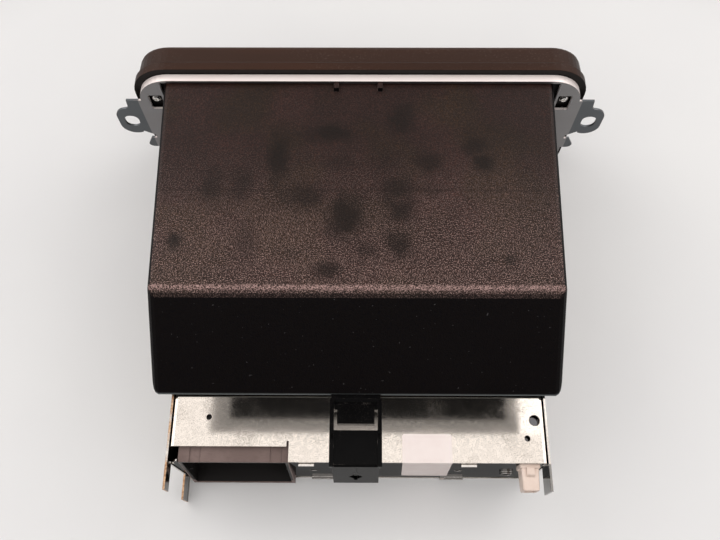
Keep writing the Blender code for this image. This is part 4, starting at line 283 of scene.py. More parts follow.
def seen_directly(tree):
    """1 for rays from the camera, a mirror or glass, and 0 for rays that carry light."""
    rays = add(tree, "LightPath").outputs
    mirrored = calc(tree, "MAXIMUM", rays["Is Glossy Ray"], rays["Is Transmission Ray"])
    return calc(tree, "MAXIMUM", rays["Is Camera Ray"], mirrored)


background = world.node_tree.nodes["Background"]
background.inputs["Color"].default_value = (*PALE_ROOM, 1)
strength = calc(world.node_tree, "MAXIMUM", seen_directly(world.node_tree), 0.05)
world.node_tree.links.new(strength, background.inputs["Strength"])
bpy.ops.object.select_all(action="DESELECT")
bpy.ops.mesh.primitive_plane_add(size=1, location=CARD_PLACE)
card = bpy.context.object
card.name = "black_card"
card.scale = CARD_SIZE
bpy.ops.object.transform_apply(location=True, rotation=True, scale=True)
card.visible_camera = False
print("the card measures", [round(v, 1) for v in card.dimensions], "m")

# %% [markdown]
# ## Effects that several materials share
#
# Moulded plastic, sheet and paint all have a fine relief, all gather dust, and all shine a little
# along their edges. Each effect is built once as a node group with named inputs, so every material
# can place it with its own values. The first is the relief of a textured mould: cells like those
# of leather, broken up by noise, with a height for the bump and a mask for the shine.

# %% Group: moulded grain
grain_group, given, result = new_group(
    "moulded grain", [("Cells per metre", 1300.0), ("Break up", 0.5)],
    [("Height", "Float"), ("Peaks", "Float")])
tree = grain_group
place = object_place(tree)
wobble = add(tree, "TexNoise", {"Vector": place, "Scale": 900.0, "Detail": 1.0})
shifted = add(tree, "VectorMath", {0: wobble.outputs["Color"], 1: (0.0007, 0.0007, 0.0007)},
              operation="MULTIPLY").outputs[0]
moved = add(tree, "VectorMath", {0: place, 1: shifted}, operation="ADD").outputs[0]
cells = add(tree, "TexVoronoi", {"Vector": moved, "Scale": given["Cells per metre"]},
            feature="SMOOTH_F1")
fine = noise(tree, 3400.0)
broken = times(tree, fine, given["Break up"])
height = inverse(tree, cells.outputs["Distance"])
tree.links.new(calc(tree, "ADD", height, broken), result["Height"])
tree.links.new(mask(tree, fine, 0.62, 0.74), result["Peaks"])
print(grain_group.name, "has", len(grain_group.nodes), "nodes")

# %% [markdown]
# Dust lies where nobody wipes: in broad clouds made of tiny grains. A wide noise says where the
# clouds are and a fine one, cut off high, leaves the separate grains. Dust falls from above, so
# only faces that look up keep it.

# %% Group: settled dust
dust_group, given, result = new_group(
    "settled dust", [("Clouds per metre", 22.0), ("Amount", 0.5), ("Grains per metre", 1500.0)],
    [("Mask", "Float"), ("Clouds", "Float")])
tree = dust_group
clouds = mask(tree, noise(tree, given["Clouds per metre"], 4.0), 0.40, 0.66)
grains = mask(tree, noise(tree, given["Grains per metre"], 3.0, 0.7), 0.54, 0.72)
upward = mask(tree, facing_parts(tree)["Z"], 0.3, 0.9)
tree.links.new(times(tree, clouds, upward), result["Clouds"])
speckled = times(tree, grains, clouds, upward)
tree.links.new(calc(tree, "MULTIPLY", speckled, given["Amount"], clamp=True), result["Mask"])
print(dust_group.name, "has", len(dust_group.nodes), "nodes")

# %% [markdown]
# No real edge is perfectly sharp. The Bevel node looks round each point for an edge and gives a
# normal that is bent as if the edge were rounded. That normal catches the thin bright lines that
# edges have, and the angle between it and the face's own normal is a mask of where the edges are,
# which is where handling rubs a surface bare.

# %% Group: soft edges
edge_group, given, result = new_group(
    "soft edges", [("Radius", 0.0004), ("Patchiness", 0.5)],
    [("Normal", "Vector"), ("Mask", "Float")])
tree = edge_group
bevel = add(tree, "Bevel", {"Radius": given["Radius"]}, samples=4)
facing = add(tree, "NewGeometry").outputs["Normal"]
alike = add(tree, "VectorMath", {0: bevel.outputs[0], 1: facing}, operation="DOT_PRODUCT")
edge = mask(tree, inverse(tree, alike.outputs["Value"]), 0.02, 0.25)
gaps = times(tree, given["Patchiness"], 0.2)
patches = mask(tree, calc(tree, "SUBTRACT", noise(tree, 260.0, 3.0), gaps), 0.35, 0.55)
tree.links.new(bevel.outputs[0], result["Normal"])
tree.links.new(times(tree, edge, patches), result["Mask"])
print(edge_group.name, "has", len(edge_group.nodes), "nodes")

# %% [markdown]
# Zinc cools on sheet steel in flat crystals, and handling leaves it grey and brown in specks. The
# crystals come from Voronoi cells, each with its own tone, and the specks from two noises that are
# cut off high. The same group serves the chassis, the deck inside it and the tuner's can.

# %% Group: zinc coat
zinc_group, given, result = new_group(
    "zinc coat", [("Bright", (0.80, 0.77, 0.73)), ("Speck", (0.30, 0.24, 0.19)), ("Specks", 0.6)],
    [("Color", "Color"), ("Roughness", "Float"), ("Height", "Float")])
tree = zinc_group
crystals = add(tree, "TexVoronoi", {"Vector": object_place(tree), "Scale": 720.0})
tone = add(tree, "SeparateColor", {0: crystals.outputs["Color"]}).outputs[0]
tone = mask(tree, tone, 0.0, 1.0)
fine = noise(tree, 2000.0, 3.0, 0.7)
specks = mask(tree, fine, 0.50, 0.64)
stains = mask(tree, noise(tree, 70.0, 4.0), 0.45, 0.70)
more_specks = ramp(tree, stains, 0.5, 0.5)
specks = times(tree, specks, more_specks, given["Specks"])
shade = inverse(tree, calc(tree, "ADD", times(tree, tone, 0.10), times(tree, stains, 0.06)))
bright = add(tree, "VectorMath", {0: given["Bright"], "Scale": shade}, operation="SCALE")
tree.links.new(blend_colours(tree, specks, bright.outputs[0], given["Speck"]), result["Color"])
rough = calc(tree, "ADD", times(tree, tone, 0.02), times(tree, specks, 0.10))
rough = calc(tree, "ADD", rough, ramp(tree, stains, 0.03, 0.03))
tree.links.new(rough, result["Roughness"])
tree.links.new(calc(tree, "ADD", fine, times(tree, tone, 0.3)), result["Height"])
print(zinc_group.name, "has", len(zinc_group.nodes), "nodes")

# %% [markdown]
# ## A material from its parts
#
# Every finish ends in one Principled shader. This helper makes the material with that shader in
# it, and joins a relief to a rounded edge normal through a Bump node, because the Normal socket
# takes only one input. Each finish below then says what is its own: colour, shine and wear.

# %% Start a material
finishes = {}


def start_finish(name, **values):
    """A new material, its tree, and its Principled shader with plain values set on its sockets."""
    material = bpy.data.materials.new(name)
    material.use_nodes = True
    tree = material.node_tree
    shader = tree.nodes["Principled BSDF"]
    for label, value in values.items():
        shader.inputs[label.replace("_", " ")].default_value = value
    finishes[name] = material
    return tree, shader


def connect(tree, shader, **outputs):
    for label, output in outputs.items():
        tree.links.new(output, shader.inputs[label.replace("_", " ")])


def relief(tree, height, distance, strength, normal=None):
    """A Bump node: height from 0 to 1 stands for a relief of that distance in metres."""
    values = {"Height": height, "Distance": distance, "Strength": strength}
    if normal is not None:
        values["Normal"] = normal
    return add(tree, "Bump", values).outputs[0]


print("materials so far:", len(finishes))

# %% [markdown]
# ## The pocket's grained plastic
#
# The pocket is moulded in black plastic with a leather grain. The plastic itself is nearly black:
# what looks brown is a broad soft shine and a film of dust. Fingers have wiped dark patches in
# that film, and they are its most personal mark, so each patch gets a place of its own. The group
# below measures how far a point is from a patch's middle, with a ragged edge from noise.

# %% Group: wiped patch
patch_group, given, result = new_group(
    "wiped patch", [("X", 0.0), ("Y", 0.0), ("Half width", 0.01), ("Half length", 0.01)],
    [("Mask", "Float")])
tree = patch_group
place = place_parts(tree)
squares = []
for axis, half in (("X", "Half width"), ("Y", "Half length")):
    away = calc(tree, "DIVIDE", calc(tree, "SUBTRACT", place[axis], given[axis]), given[half])
    squares.append(times(tree, away, away))
far = calc(tree, "SQRT", calc(tree, "ADD", *squares))
ragged = times(tree, calc(tree, "SUBTRACT", noise(tree, 150.0, 3.0), 0.5), 1.5)
far = calc(tree, "ADD", far, ragged)
tree.links.new(inverse(tree, mask(tree, far, 0.25, 1.85)), result["Mask"])
print(patch_group.name, "has", len(patch_group.nodes), "nodes")

# %% Wiped patches, each with its middle, its half width and half length, and its strength
WIPED = (
    (0.0395, -0.0399, 0.0044, 0.0129, 1.00),
    (0.0144, -0.0526, 0.0099, 0.0046, 1.00),
    (-0.0212, -0.0609, 0.0060, 0.0071, 0.90),
    (-0.0334, -0.0361, 0.0058, 0.0056, 0.85),
    (-0.0567, -0.0452, 0.0059, 0.0051, 0.80),
    (-0.0606, -0.0362, 0.0048, 0.0050, 1.00),
    (-0.0187, -0.0211, 0.0067, 0.0070, 0.80),
    (-0.0200, -0.0104, 0.0066, 0.0063, 0.90),
    (0.0064, -0.0061, 0.0080, 0.0099, 1.00),
    (0.0256, -0.0167, 0.0095, 0.0064, 0.80),
    (0.0713, -0.0231, 0.0048, 0.0076, 0.70),
    (0.0570, -0.0247, 0.0053, 0.0076, 0.60),
    (-0.0192, 0.0084, 0.0055, 0.0061, 0.90),
    (-0.0035, 0.0105, 0.0046, 0.0040, 0.60),
    (0.0147, 0.0211, 0.0055, 0.0035, 0.90),
    (0.0525, 0.0071, 0.0042, 0.0086, 0.40),
    (0.0865, 0.0062, 0.0037, 0.0041, 1.00),
    (-0.0699, 0.0158, 0.0023, 0.0025, 0.80),
    (0.0102, -0.0360, 0.0068, 0.0039, 0.40),
    (0.0337, 0.0131, 0.0055, 0.0035, 0.40),
    (-0.0126, -0.0361, 0.0058, 0.0073, 0.40),
    (-0.0339, -0.0206, 0.0067, 0.0033, 0.35),
)
tree, shader = start_finish("grained_plastic", IOR=1.30)
wiped = None
for x, y, width, length, strength in WIPED:
    spot = use(tree, patch_group, X=x, Y=y, Half_width=width, Half_length=length)["Mask"]
    spot = times(tree, spot, strength)
    wiped = spot if wiped is None else calc(tree, "MAXIMUM", wiped, spot)
clean = inverse(tree, times(tree, wiped, 0.88))
print("wiped patches:", len(WIPED))

# %% [markdown]
# The film of dust lies on faces that look up, and is rosy in some places and olive brown in
# others. The back wall stays black, with a few specks of fluff, and the pits of the grain stay
# black everywhere.

# %% Film on the grained plastic
grain = use(tree, grain_group, Cells_per_metre=1500.0, Break_up=0.9)
dust = use(tree, dust_group, Clouds_per_metre=30.0, Amount=0.9, Grains_per_metre=1500.0)
edges = use(tree, edge_group, Radius=0.0007, Patchiness=0.6)
place, facing = place_parts(tree), facing_parts(tree)
upward = mask(tree, facing["Z"], 0.78, 0.97)
film = times(tree, ramp(tree, dust["Clouds"], 0.35, 0.65), clean)
browner = mask(tree, noise(tree, 26.0, 2.0), 0.44, 0.62)
tint = blend_colours(tree, browner, (0.0425, 0.0150, 0.0110), (0.0355, 0.0155, 0.0058))
plain = blend_colours(tree, film, (0.0110, 0.0055, 0.0032), tint)
fluff = times(tree, mask(tree, noise(tree, 700.0, 1.0), 0.755, 0.79), 0.5)
wall = blend_colours(tree, fluff, (0.0024, 0.0020, 0.0030), (0.20, 0.19, 0.20))
plain = blend_colours(tree, upward, wall, plain)
pits = times(tree, mask(tree, grain["Height"], 0.60, 1.15), 0.7)
plain = blend_colours(tree, pits, plain, (0.005, 0.0035, 0.003))
print("nodes so far:", len(tree.nodes))

# %% [markdown]
# The crests of the grain get a pale colour, more and more towards the pocket's back edge, and most
# on the edge itself: a painted highlight for their glitter, because a shine that comes from relief
# alone is lost where the relief is finer than a pixel. Dust grains share that pale colour.

# %% Painted glitter on the grained plastic
GLITTER_START, POCKET_BACK_EDGE = -0.055, 0.0296
to_back = mask(tree, place["Y"], GLITTER_START, POCKET_BACK_EDGE)
crest = mask(tree, noise(tree, 1900.0, 2.0, 0.6), 0.50, 0.66)
from_edge = calc(tree, "ABSOLUTE", calc(tree, "SUBTRACT", place["Y"], POCKET_BACK_EDGE))
at_edge = inverse(tree, mask(tree, from_edge, 0.0004, 0.0019))
at_edge = times(tree, at_edge, mask(tree, facing["Z"], 0.60, 0.75))
more_crests = ramp(tree, to_back, 0.64, 0.05)
more_dust = ramp(tree, to_back, 0.4, 0.12)
# Painted highlight: the crests' glitter goes into the colour, denser towards the back edge.
glint = times(tree, crest, clean, upward, more_crests)
scattered = times(tree, dust["Mask"], more_dust, clean, upward)
glint = calc(tree, "MAXIMUM", glint, scattered)
# Painted highlight: a pale glitter along the rounded back edge.
edge_glint = times(tree, mask(tree, noise(tree, 1500.0, 3.0, 0.7), 0.44, 0.62), at_edge, 0.62)
# The pale colour is a painted highlight on the crests and the edge, and real dust grains.
speckled = blend_colours(tree, glint, plain, (0.44, 0.295, 0.265))
speckled = blend_colours(tree, edge_glint, speckled, (0.66, 0.43, 0.40))
print("the glitter grows over", round((POCKET_BACK_EDGE - GLITTER_START) * 1000), "mm")

# %% [markdown]
# A fine seam from the mould crosses the pocket's top. Handling has rubbed the edges paler, and a
# thin pale line along the back wall's foot is a painted highlight.

# %% Seam, edges and the painted highlight at the foot of the grained plastic
POCKET_SEAM = -0.0206
FOOT_LOW, FOOT_HIGH = 0.0008, 0.0022
seam = calc(tree, "ABSOLUTE", calc(tree, "SUBTRACT", place["Y"], POCKET_SEAM))
seam = inverse(tree, mask(tree, seam, 0.0002, 0.0009))
seamed = blend_colours(tree, times(tree, seam, 0.35), speckled, (0.012, 0.006, 0.004))
surface_colour = blend_colours(tree, times(tree, edges["Mask"], 0.35), seamed, (0.30, 0.24, 0.22))
height = calc(tree, "SUBTRACT", place["Z"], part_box("storage_pocket")[0].z)
# Painted highlight: a thin pale bluish line along the foot of the back wall.
foot_highlight = inverse(tree, mask(tree, height, FOOT_LOW, FOOT_HIGH))
foot_highlight = times(tree, foot_highlight, mask(tree, facing["Y"], 0.3, 0.7), 0.7)
surface_colour = blend_colours(tree, foot_highlight, surface_colour, (0.30, 0.33, 0.34))
rough = ramp(tree, film, 0.10, 0.30)
rough = calc(tree, "SUBTRACT", rough, times(tree, grain["Peaks"], 0.10))
bumpy = relief(tree, grain["Height"], 0.00010, 0.8, edges["Normal"])
gloss = ramp(tree, upward, 0.24, 0.15)
connect(tree, shader, Base_Color=surface_colour, Roughness=rough, Normal=bumpy, Specular_IOR_Level=gloss)
print("finish: grained plastic,", len(tree.nodes), "nodes")

# %% [markdown]
# ## The smooth black plastics
#
# The bezel and the panel are a satin black with a much finer texture, the clip is glossy with hair
# scratches, and the keys and knobs have a soft coat that feels like rubber. They differ in colour
# only a little, so roughness and relief have to tell them apart.

# %% Finish: bezel and panel plastic
tree, shader = start_finish("black_plastic", IOR=1.24)
grain = use(tree, grain_group, Cells_per_metre=2600.0, Break_up=0.6)
dust = use(tree, dust_group, Clouds_per_metre=16.0, Amount=0.12, Grains_per_metre=900.0)
edges = use(tree, edge_group, Radius=0.0006, Patchiness=0.8)
streaks = mask(tree, noise(tree, 60.0, 3.0, 0.5, (0.12, 1.0, 1.0)), 0.35, 0.70)
film = times(tree, mask(tree, facing_parts(tree)["Z"], 0.25, 0.95), ramp(tree, streaks, 0.3, 0.7))
plain = blend_colours(tree, film, (0.0070, 0.0050, 0.0042), (0.0405, 0.0155, 0.0080))
speckled = blend_colours(tree, dust["Mask"], plain, (0.38, 0.30, 0.27))
surface_colour = blend_colours(tree, times(tree, edges["Mask"], 0.25), speckled, (0.20, 0.165, 0.15))
rough = ramp(tree, streaks, 0.08, 0.40)
connect(tree, shader, Base_Color=surface_colour, Roughness=rough,
        Normal=relief(tree, grain["Height"], 0.00003, 0.5, edges["Normal"]))
print("finish: satin plastic")

# %% Finish: glossy clip
tree, shader = start_finish("gloss_black", IOR=1.13)
edges = use(tree, edge_group, Radius=0.0004, Patchiness=0.9)
scratches = mask(tree, noise(tree, 700.0, 2.0, 0.6, (1.0, 0.06, 0.06)), 0.66, 0.78)
smears = mask(tree, noise(tree, 120.0, 3.0), 0.40, 0.70)
dust = use(tree, dust_group, Clouds_per_metre=60.0, Amount=0.05, Grains_per_metre=1400.0)
plain = blend_colours(tree, dust["Mask"], (0.0030, 0.0029, 0.0031), (0.30, 0.26, 0.24))
# The clip's pale edges are partly rubbed wear and partly a painted highlight for the thin bright
# lines along its sides.
surface_colour = blend_colours(tree, times(tree, edges["Mask"], 0.5), plain, (0.42, 0.36, 0.33))
rough = calc(tree, "ADD", times(tree, smears, 0.08), ramp(tree, scratches, 0.25, 0.09))
connect(tree, shader, Base_Color=surface_colour, Roughness=rough,
        Normal=relief(tree, scratches, 0.00002, 0.4, edges["Normal"]))
print("finish: glossy plastic")

# %% Finish: soft coat of keys and knobs
tree, shader = start_finish("soft_black", IOR=1.45)
grain = use(tree, grain_group, Cells_per_metre=3800.0, Break_up=0.8)
edges = use(tree, edge_group, Radius=0.0004, Patchiness=0.3)
shine = mask(tree, noise(tree, 180.0, 3.0), 0.40, 0.70)
plain = blend_colours(tree, shine, (0.020, 0.0195, 0.020), (0.030, 0.029, 0.029))
surface_colour = blend_colours(tree, times(tree, edges["Mask"], 0.5), plain, (0.10, 0.098, 0.096))
rough = ramp(tree, shine, -0.14, 0.62)
connect(tree, shader, Base_Color=surface_colour, Roughness=rough,
        Normal=relief(tree, grain["Height"], 0.00002, 0.6, edges["Normal"]))
print("finish: soft coat")

# %% [markdown]
# ## Rubber with its steel shaft
#
# A node carries one material, but some nodes are two things in one: the feed roller is a rubber
# sleeve on a steel shaft, and the connector's carrier holds bare pins. Such a material asks where
# a point lies along one axis and changes over there. The helper gives that mask.

# %% Finish: rubber roller
def beyond(tree, axis, level, both_sides=False):
    """1 where the object's coordinate along an axis is past a level, and 0 before it."""
    place = place_parts(tree)[axis]
    if both_sides:
        place = calc(tree, "ABSOLUTE", place)
    return calc(tree, "GREATER_THAN", place, level)


SHAFT_END = 0.0147
roller_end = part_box("feed_roller")[1].x - SHAFT_END
tree, shader = start_finish("rubber_black", IOR=1.5)
steel = beyond(tree, "X", roller_end, both_sides=True)
rubbed = mask(tree, noise(tree, 400.0, 3.0, 0.6, (0.2, 1.0, 1.0)), 0.40, 0.65)
rubber = blend_colours(tree, rubbed, (0.014, 0.014, 0.014), (0.040, 0.039, 0.037))
rough = ramp(tree, steel, -0.60, 0.85)
connect(tree, shader, Base_Color=blend_colours(tree, steel, rubber, (0.62, 0.61, 0.59)),
        Roughness=rough, Metallic=steel, Normal=relief(tree, rubbed, 0.00004, 0.5))
print("the rubber sleeve ends at x =", round(roller_end, 4))

# %% [markdown]
# ## The frame
#
# The mounting frame is pressed from steel. Its rim has a smooth pale coat with soft clouds, and its
# back and its ears are bare and more metallic, and their much darker colour is painted shade. Its
# edges have a few rubbed spots.

# %% Finish: frame
tree, shader = start_finish("frame_steel")
edges = use(tree, edge_group, Radius=0.0004, Patchiness=0.7)
clouds = mask(tree, noise(tree, 45.0, 4.0), 0.35, 0.70)
fine = noise(tree, 2200.0, 2.0)
plain = blend_colours(tree, clouds, (1.0, 0.92, 0.89), (0.96, 0.86, 0.83))
place, facing = place_parts(tree), facing_parts(tree)
# Painted shade: faces that look back, and the ears, get a dark bluish grey; they are also more
# metallic.
plate = mask(tree, facing["Y"], 0.80, 0.98)
ears = mask(tree, calc(tree, "ABSOLUTE", place["X"]), 0.1165, 0.1180)
shaded_bare_steel = calc(tree, "MAXIMUM", times(tree, plate, 0.85), ears)
plain = blend_colours(tree, shaded_bare_steel, plain, (0.108, 0.116, 0.124))
marks = mask(tree, noise(tree, 480.0, 4.0, 0.7), 0.66, 0.74)
marked = blend_colours(tree, times(tree, marks, 0.5), plain, (0.22, 0.19, 0.17))
surface_colour = blend_colours(tree, times(tree, edges["Mask"], 0.6), marked, (0.50, 0.40, 0.35))
rough = ramp(tree, clouds, 0.10, 0.30)
connect(tree, shader, Base_Color=surface_colour, Roughness=rough,
        Metallic=ramp(tree, shaded_bare_steel, 0.70, 0.25),
        Normal=relief(tree, fine, 0.00001, 0.5, edges["Normal"]))
print("finish: frame")

# %% [markdown]
# ## The zinc-coated sheet
#
# Sheet is coated before it is cut, so the cut edges are bare steel, and they go a tan brown. The
# tray's prongs stand past its back end and show those edges. There, every face that doesn't look
# sideways is a cut edge, and that is what the mask asks for. Only the side with the big connector
# has gone tan: there the prongs' edges, and patches on the last stretch of the tray's top rim. All
# faces past the back end, the prongs' faces on both sides too, are darkened with painted shade, and
# so are the back wall's upright faces.

# %% Finish: zinc-coated sheet
TAN_RIM, RIM_DEPTH = 0.040, 0.0003


def zinc_sheet(name, bright, specks, cut_from=None, upright=None, **values):
    """Zinc-coated sheet; painted shade may darken its upright faces, and past a level all its
    faces, whose cut edges are tan.
    """
    tree, shader = start_finish(name, Metallic=1.0, **values)
    coat = use(tree, zinc_group, Specks=specks, Bright=(*bright, 1))
    edges = use(tree, edge_group, Radius=0.0004, Patchiness=0.4)
    facing = facing_parts(tree)
    colour = coat["Color"]
    if upright is not None:
        # Painted shade: faces that don't look up take the darker upright colour.
        steep = inverse(tree, mask(tree, facing["Z"], 0.2, 0.7))
        colour = blend_colours(tree, steep, colour, upright)
    colour = blend_colours(tree, times(tree, edges["Mask"], 0.25), colour, (0.85, 0.80, 0.76))
    rough = coat["Roughness"]
    if cut_from is not None:
        sideways = mask(tree, calc(tree, "ABSOLUTE", facing["X"]), 0.4, 0.6)
        past_end = beyond(tree, "Y", cut_from)
        bare = times(tree, inverse(tree, sideways), past_end)
        rim = times(tree, beyond(tree, "Z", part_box("top_cover")[1].z - RIM_DEPTH),
                    mask(tree, noise(tree, 90.0, 2.0), 0.35, 0.55),
                    beyond(tree, "Y", cut_from - TAN_RIM))
        bare = times(tree, calc(tree, "MAXIMUM", bare, rim), beyond(tree, "X", 0.0))
        uneven = mask(tree, noise(tree, 900.0, 3.0), 0.35, 0.65)
        tan = blend_colours(tree, uneven, (0.62, 0.42, 0.27), (0.34, 0.20, 0.12))
        # Painted shade: past the back end every face is darkened, the prongs' faces on both sides
        # too.
        colour = blend_colours(tree, times(tree, past_end, 0.75), colour, (0.12, 0.12, 0.12))
        colour = blend_colours(tree, bare, colour, tan)
        rough = calc(tree, "ADD", rough, times(tree, bare, 0.30))
    connect(tree, shader, Base_Color=colour, Roughness=rough,
            Normal=relief(tree, coat["Height"], 0.000004, 0.3, edges["Normal"]))


PAST_THE_LID = 0.0002
chassis_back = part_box("top_cover")[1].y
zinc_sheet("galvanised", (0.77, 0.715, 0.655), 0.75)
zinc_sheet("tray sheet", (0.68, 0.65, 0.61), 0.60, cut_from=chassis_back + PAST_THE_LID)
# Painted shade on the back wall: its upright faces get a darker colour, and a grey specular tint
# dims their grazing reflection.
zinc_sheet("wall sheet", (0.70, 0.67, 0.64), 0.30, upright=(0.28, 0.285, 0.29),
           Specular_Tint=(0.22, 0.22, 0.22, 1))
zinc_sheet("deck sheet", (0.56, 0.56, 0.56), 0.35)
# The tuner's can is made nearly black: painted shade, so that the lid's holes above it look dark.
zinc_sheet("tuner sheet in painted shade", (0.10, 0.10, 0.105), 0.20)
print("bare cut edges from y =", round(chassis_back, 4))

# %% [markdown]
# ## Screws, shafts and the heat spreader
#
# Screws and shafts are plated and bright, and the heat spreader is extruded aluminium, so lines
# from the die run along it. Noise that is stretched along one axis makes such lines.

# %% Finish: bright zinc and extruded aluminium
tree, shader = start_finish("zinc", Metallic=1.0)
edges = use(tree, edge_group, Radius=0.0002, Patchiness=0.2)
tarnish = mask(tree, noise(tree, 500.0, 3.0), 0.45, 0.75)
plain = blend_colours(tree, tarnish, (0.80, 0.79, 0.77), (0.58, 0.55, 0.50))
connect(tree, shader, Base_Color=plain, Normal=edges["Normal"],
        Roughness=ramp(tree, tarnish, 0.14, 0.16))
tree, shader = start_finish("aluminium", Metallic=1.0)
lines = noise(tree, 1600.0, 2.0, 0.6, (0.03, 1.0, 1.0))
plain = blend_colours(tree, mask(tree, lines, 0.3, 0.7), (0.74, 0.75, 0.76), (0.60, 0.61, 0.62))
connect(tree, shader, Base_Color=plain, Normal=relief(tree, lines, 0.00002, 0.5),
        Roughness=ramp(tree, lines, 0.16, 0.24))
print("finish: bright metals")

# %% [markdown]
# ## The sockets
#
# The big connector is filled nylon, a grey brown with a dry bloom on top, and the small antenna
# socket is a cream nylon that lets a little light in. Its translucency is slight, so the colour
# alone carries it, in warmer and paler clouds. The faces in the big connector's mouth and under the
# lid, where light hardly reaches, are nearly black: painted shade, with no bloom there either.

# %% Finish: connector and antenna plastic
tree, shader = start_finish("connector_plastic", IOR=1.33)
edges = use(tree, edge_group, Radius=0.0003, Patchiness=0.3)
bloom = mask(tree, noise(tree, 90.0, 4.0), 0.35, 0.70)
fibres = noise(tree, 1300.0, 3.0, 0.6, (0.25, 1.0, 1.0))
plain = blend_colours(tree, bloom, (0.150, 0.105, 0.095), (0.195, 0.140, 0.128))
streaked = times(tree, mask(tree, fibres, 0.5, 0.7), 0.3)
plain = blend_colours(tree, streaked, plain, (0.10, 0.070, 0.062))
surface_colour = blend_colours(tree, times(tree, edges["Mask"], 0.4), plain, (0.30, 0.24, 0.22))
SKIN, LID_NOTCH = 0.0005, 0.0915
low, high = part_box("connector_header")
# Painted shade: faces inside the connector's mouth, and all faces under the lid, get a nearly black
# colour.
inside = times(tree, beyond(tree, "X", low.x + SKIN), beyond(tree, "Z", low.z + SKIN))
for axis, level in (("X", high.x - SKIN), ("Z", high.z - 2 * SKIN), ("Y", high.y - SKIN)):
    inside = calc(tree, "SUBTRACT", inside, beyond(tree, axis, level), clamp=True)
dark = calc(tree, "MAXIMUM", inside, inverse(tree, beyond(tree, "Y", LID_NOTCH)))
surface_colour = blend_colours(tree, dark, surface_colour, (0.0055, 0.0042, 0.0040))
connect(tree, shader, Base_Color=surface_colour, Normal=relief(tree, fibres, 0.00003, 0.5, edges["Normal"]),
        Roughness=ramp(tree, bloom, 0.12, 0.42))
tree, shader = start_finish("cream_plastic", IOR=1.5)
edges = use(tree, edge_group, Radius=0.0004, Patchiness=0.2)
warm = mask(tree, noise(tree, 160.0, 3.0), 0.35, 0.70)
plain = blend_colours(tree, warm, (0.80, 0.66, 0.58), (0.73, 0.585, 0.50))
surface_colour = blend_colours(tree, edges["Mask"], plain, (0.84, 0.72, 0.65))
connect(tree, shader, Base_Color=surface_colour, Normal=relief(tree, warm, 0.00003, 0.4, edges["Normal"]),
        Roughness=ramp(tree, warm, 0.10, 0.40))
print("finish: socket plastics")

# %% Finish: carrier with its bare pins
CARRIER_THICK = 0.0012
carrier_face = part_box("connector_pins")[0].y + CARRIER_THICK
tree, shader = start_finish("carrier and pins", IOR=1.5)
pins = beyond(tree, "Y", carrier_face)
dull = mask(tree, noise(tree, 1200.0, 2.0), 0.4, 0.7)
tinned = blend_colours(tree, dull, (0.70, 0.66, 0.58), (0.46, 0.42, 0.36))
connect(tree, shader, Base_Color=blend_colours(tree, pins, (0.020, 0.017, 0.016), tinned),
        Metallic=pins, Roughness=ramp(tree, pins, -0.25, 0.55),
        Normal=relief(tree, dull, 0.00002, 0.4))
print("pins stand past y =", round(carrier_face, 4))

# %% [markdown]
# ## Circuit boards
#
# A board is glass fibre under green lacquer, with copper tracks that show through as paler lines.
# Square Voronoi cells (Chebychev distance) have borders that run straight and turn at corners, as
# tracks do. The parts that stand on a board are black, and start at a level along one axis. The
# main board's parts are nodes of their own, so its level lies clear above it.

# %% Finish: boards
def board_finish(name, axis, level, parts_above):
    """A green board whose black parts are all past a level along an axis, or all before it."""
    tree, shader = start_finish(name, IOR=1.5)
    place = object_place(tree)
    tracks = add(tree, "TexVoronoi", {"Vector": place, "Scale": 210.0, "Randomness": 0.7},
                 feature="F1", distance="CHEBYCHEV")
    wide = mask(tree, tracks.outputs["Distance"], 0.36, 0.38)
    copper = times(tree, wide, mask(tree, noise(tree, 60.0, 2.0), 0.45, 0.48))
    lacquer = blend_colours(tree, copper, (0.012, 0.085, 0.035), (0.040, 0.190, 0.075))
    pads = add(tree, "TexVoronoi", {"Vector": place, "Scale": 330.0, "Randomness": 0.2})
    pads = calc(tree, "LESS_THAN", pads.outputs["Distance"], 0.16)
    lacquer = blend_colours(tree, pads, lacquer, (0.52, 0.50, 0.46))
    parts = beyond(tree, axis, level)
    if not parts_above:
        parts = inverse(tree, parts)
    colour = blend_colours(tree, parts, lacquer, (0.022, 0.022, 0.023))
    rough = ramp(tree, noise(tree, 300.0), 0.15, 0.28)
    connect(tree, shader, Base_Color=colour, Roughness=rough,
            Normal=relief(tree, calc(tree, "ADD", copper, pads), 0.00003, 0.6))


HOUSING_DEPTH, DISPLAY_FACE, CLEAR = 0.0040, 0.0012, 0.0010
board_finish("board_green", "Z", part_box("main_board")[1].z + CLEAR, True)
board_finish("front board", "Y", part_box("front_board")[0].y + HOUSING_DEPTH, False)
board_finish("display board", "Y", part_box("display_module")[0].y + DISPLAY_FACE, False)
print("finish: boards")

# %% [markdown]
# ## Capacitors and the display window
#
# A capacitor is an aluminium can in a shrunk blue sleeve, with a pale stripe down its negative
# side and its bare top showing. The display window is smoked plastic over a dark panel: nearly
# black, very smooth, with a few soft wipe marks that only show in its shine.

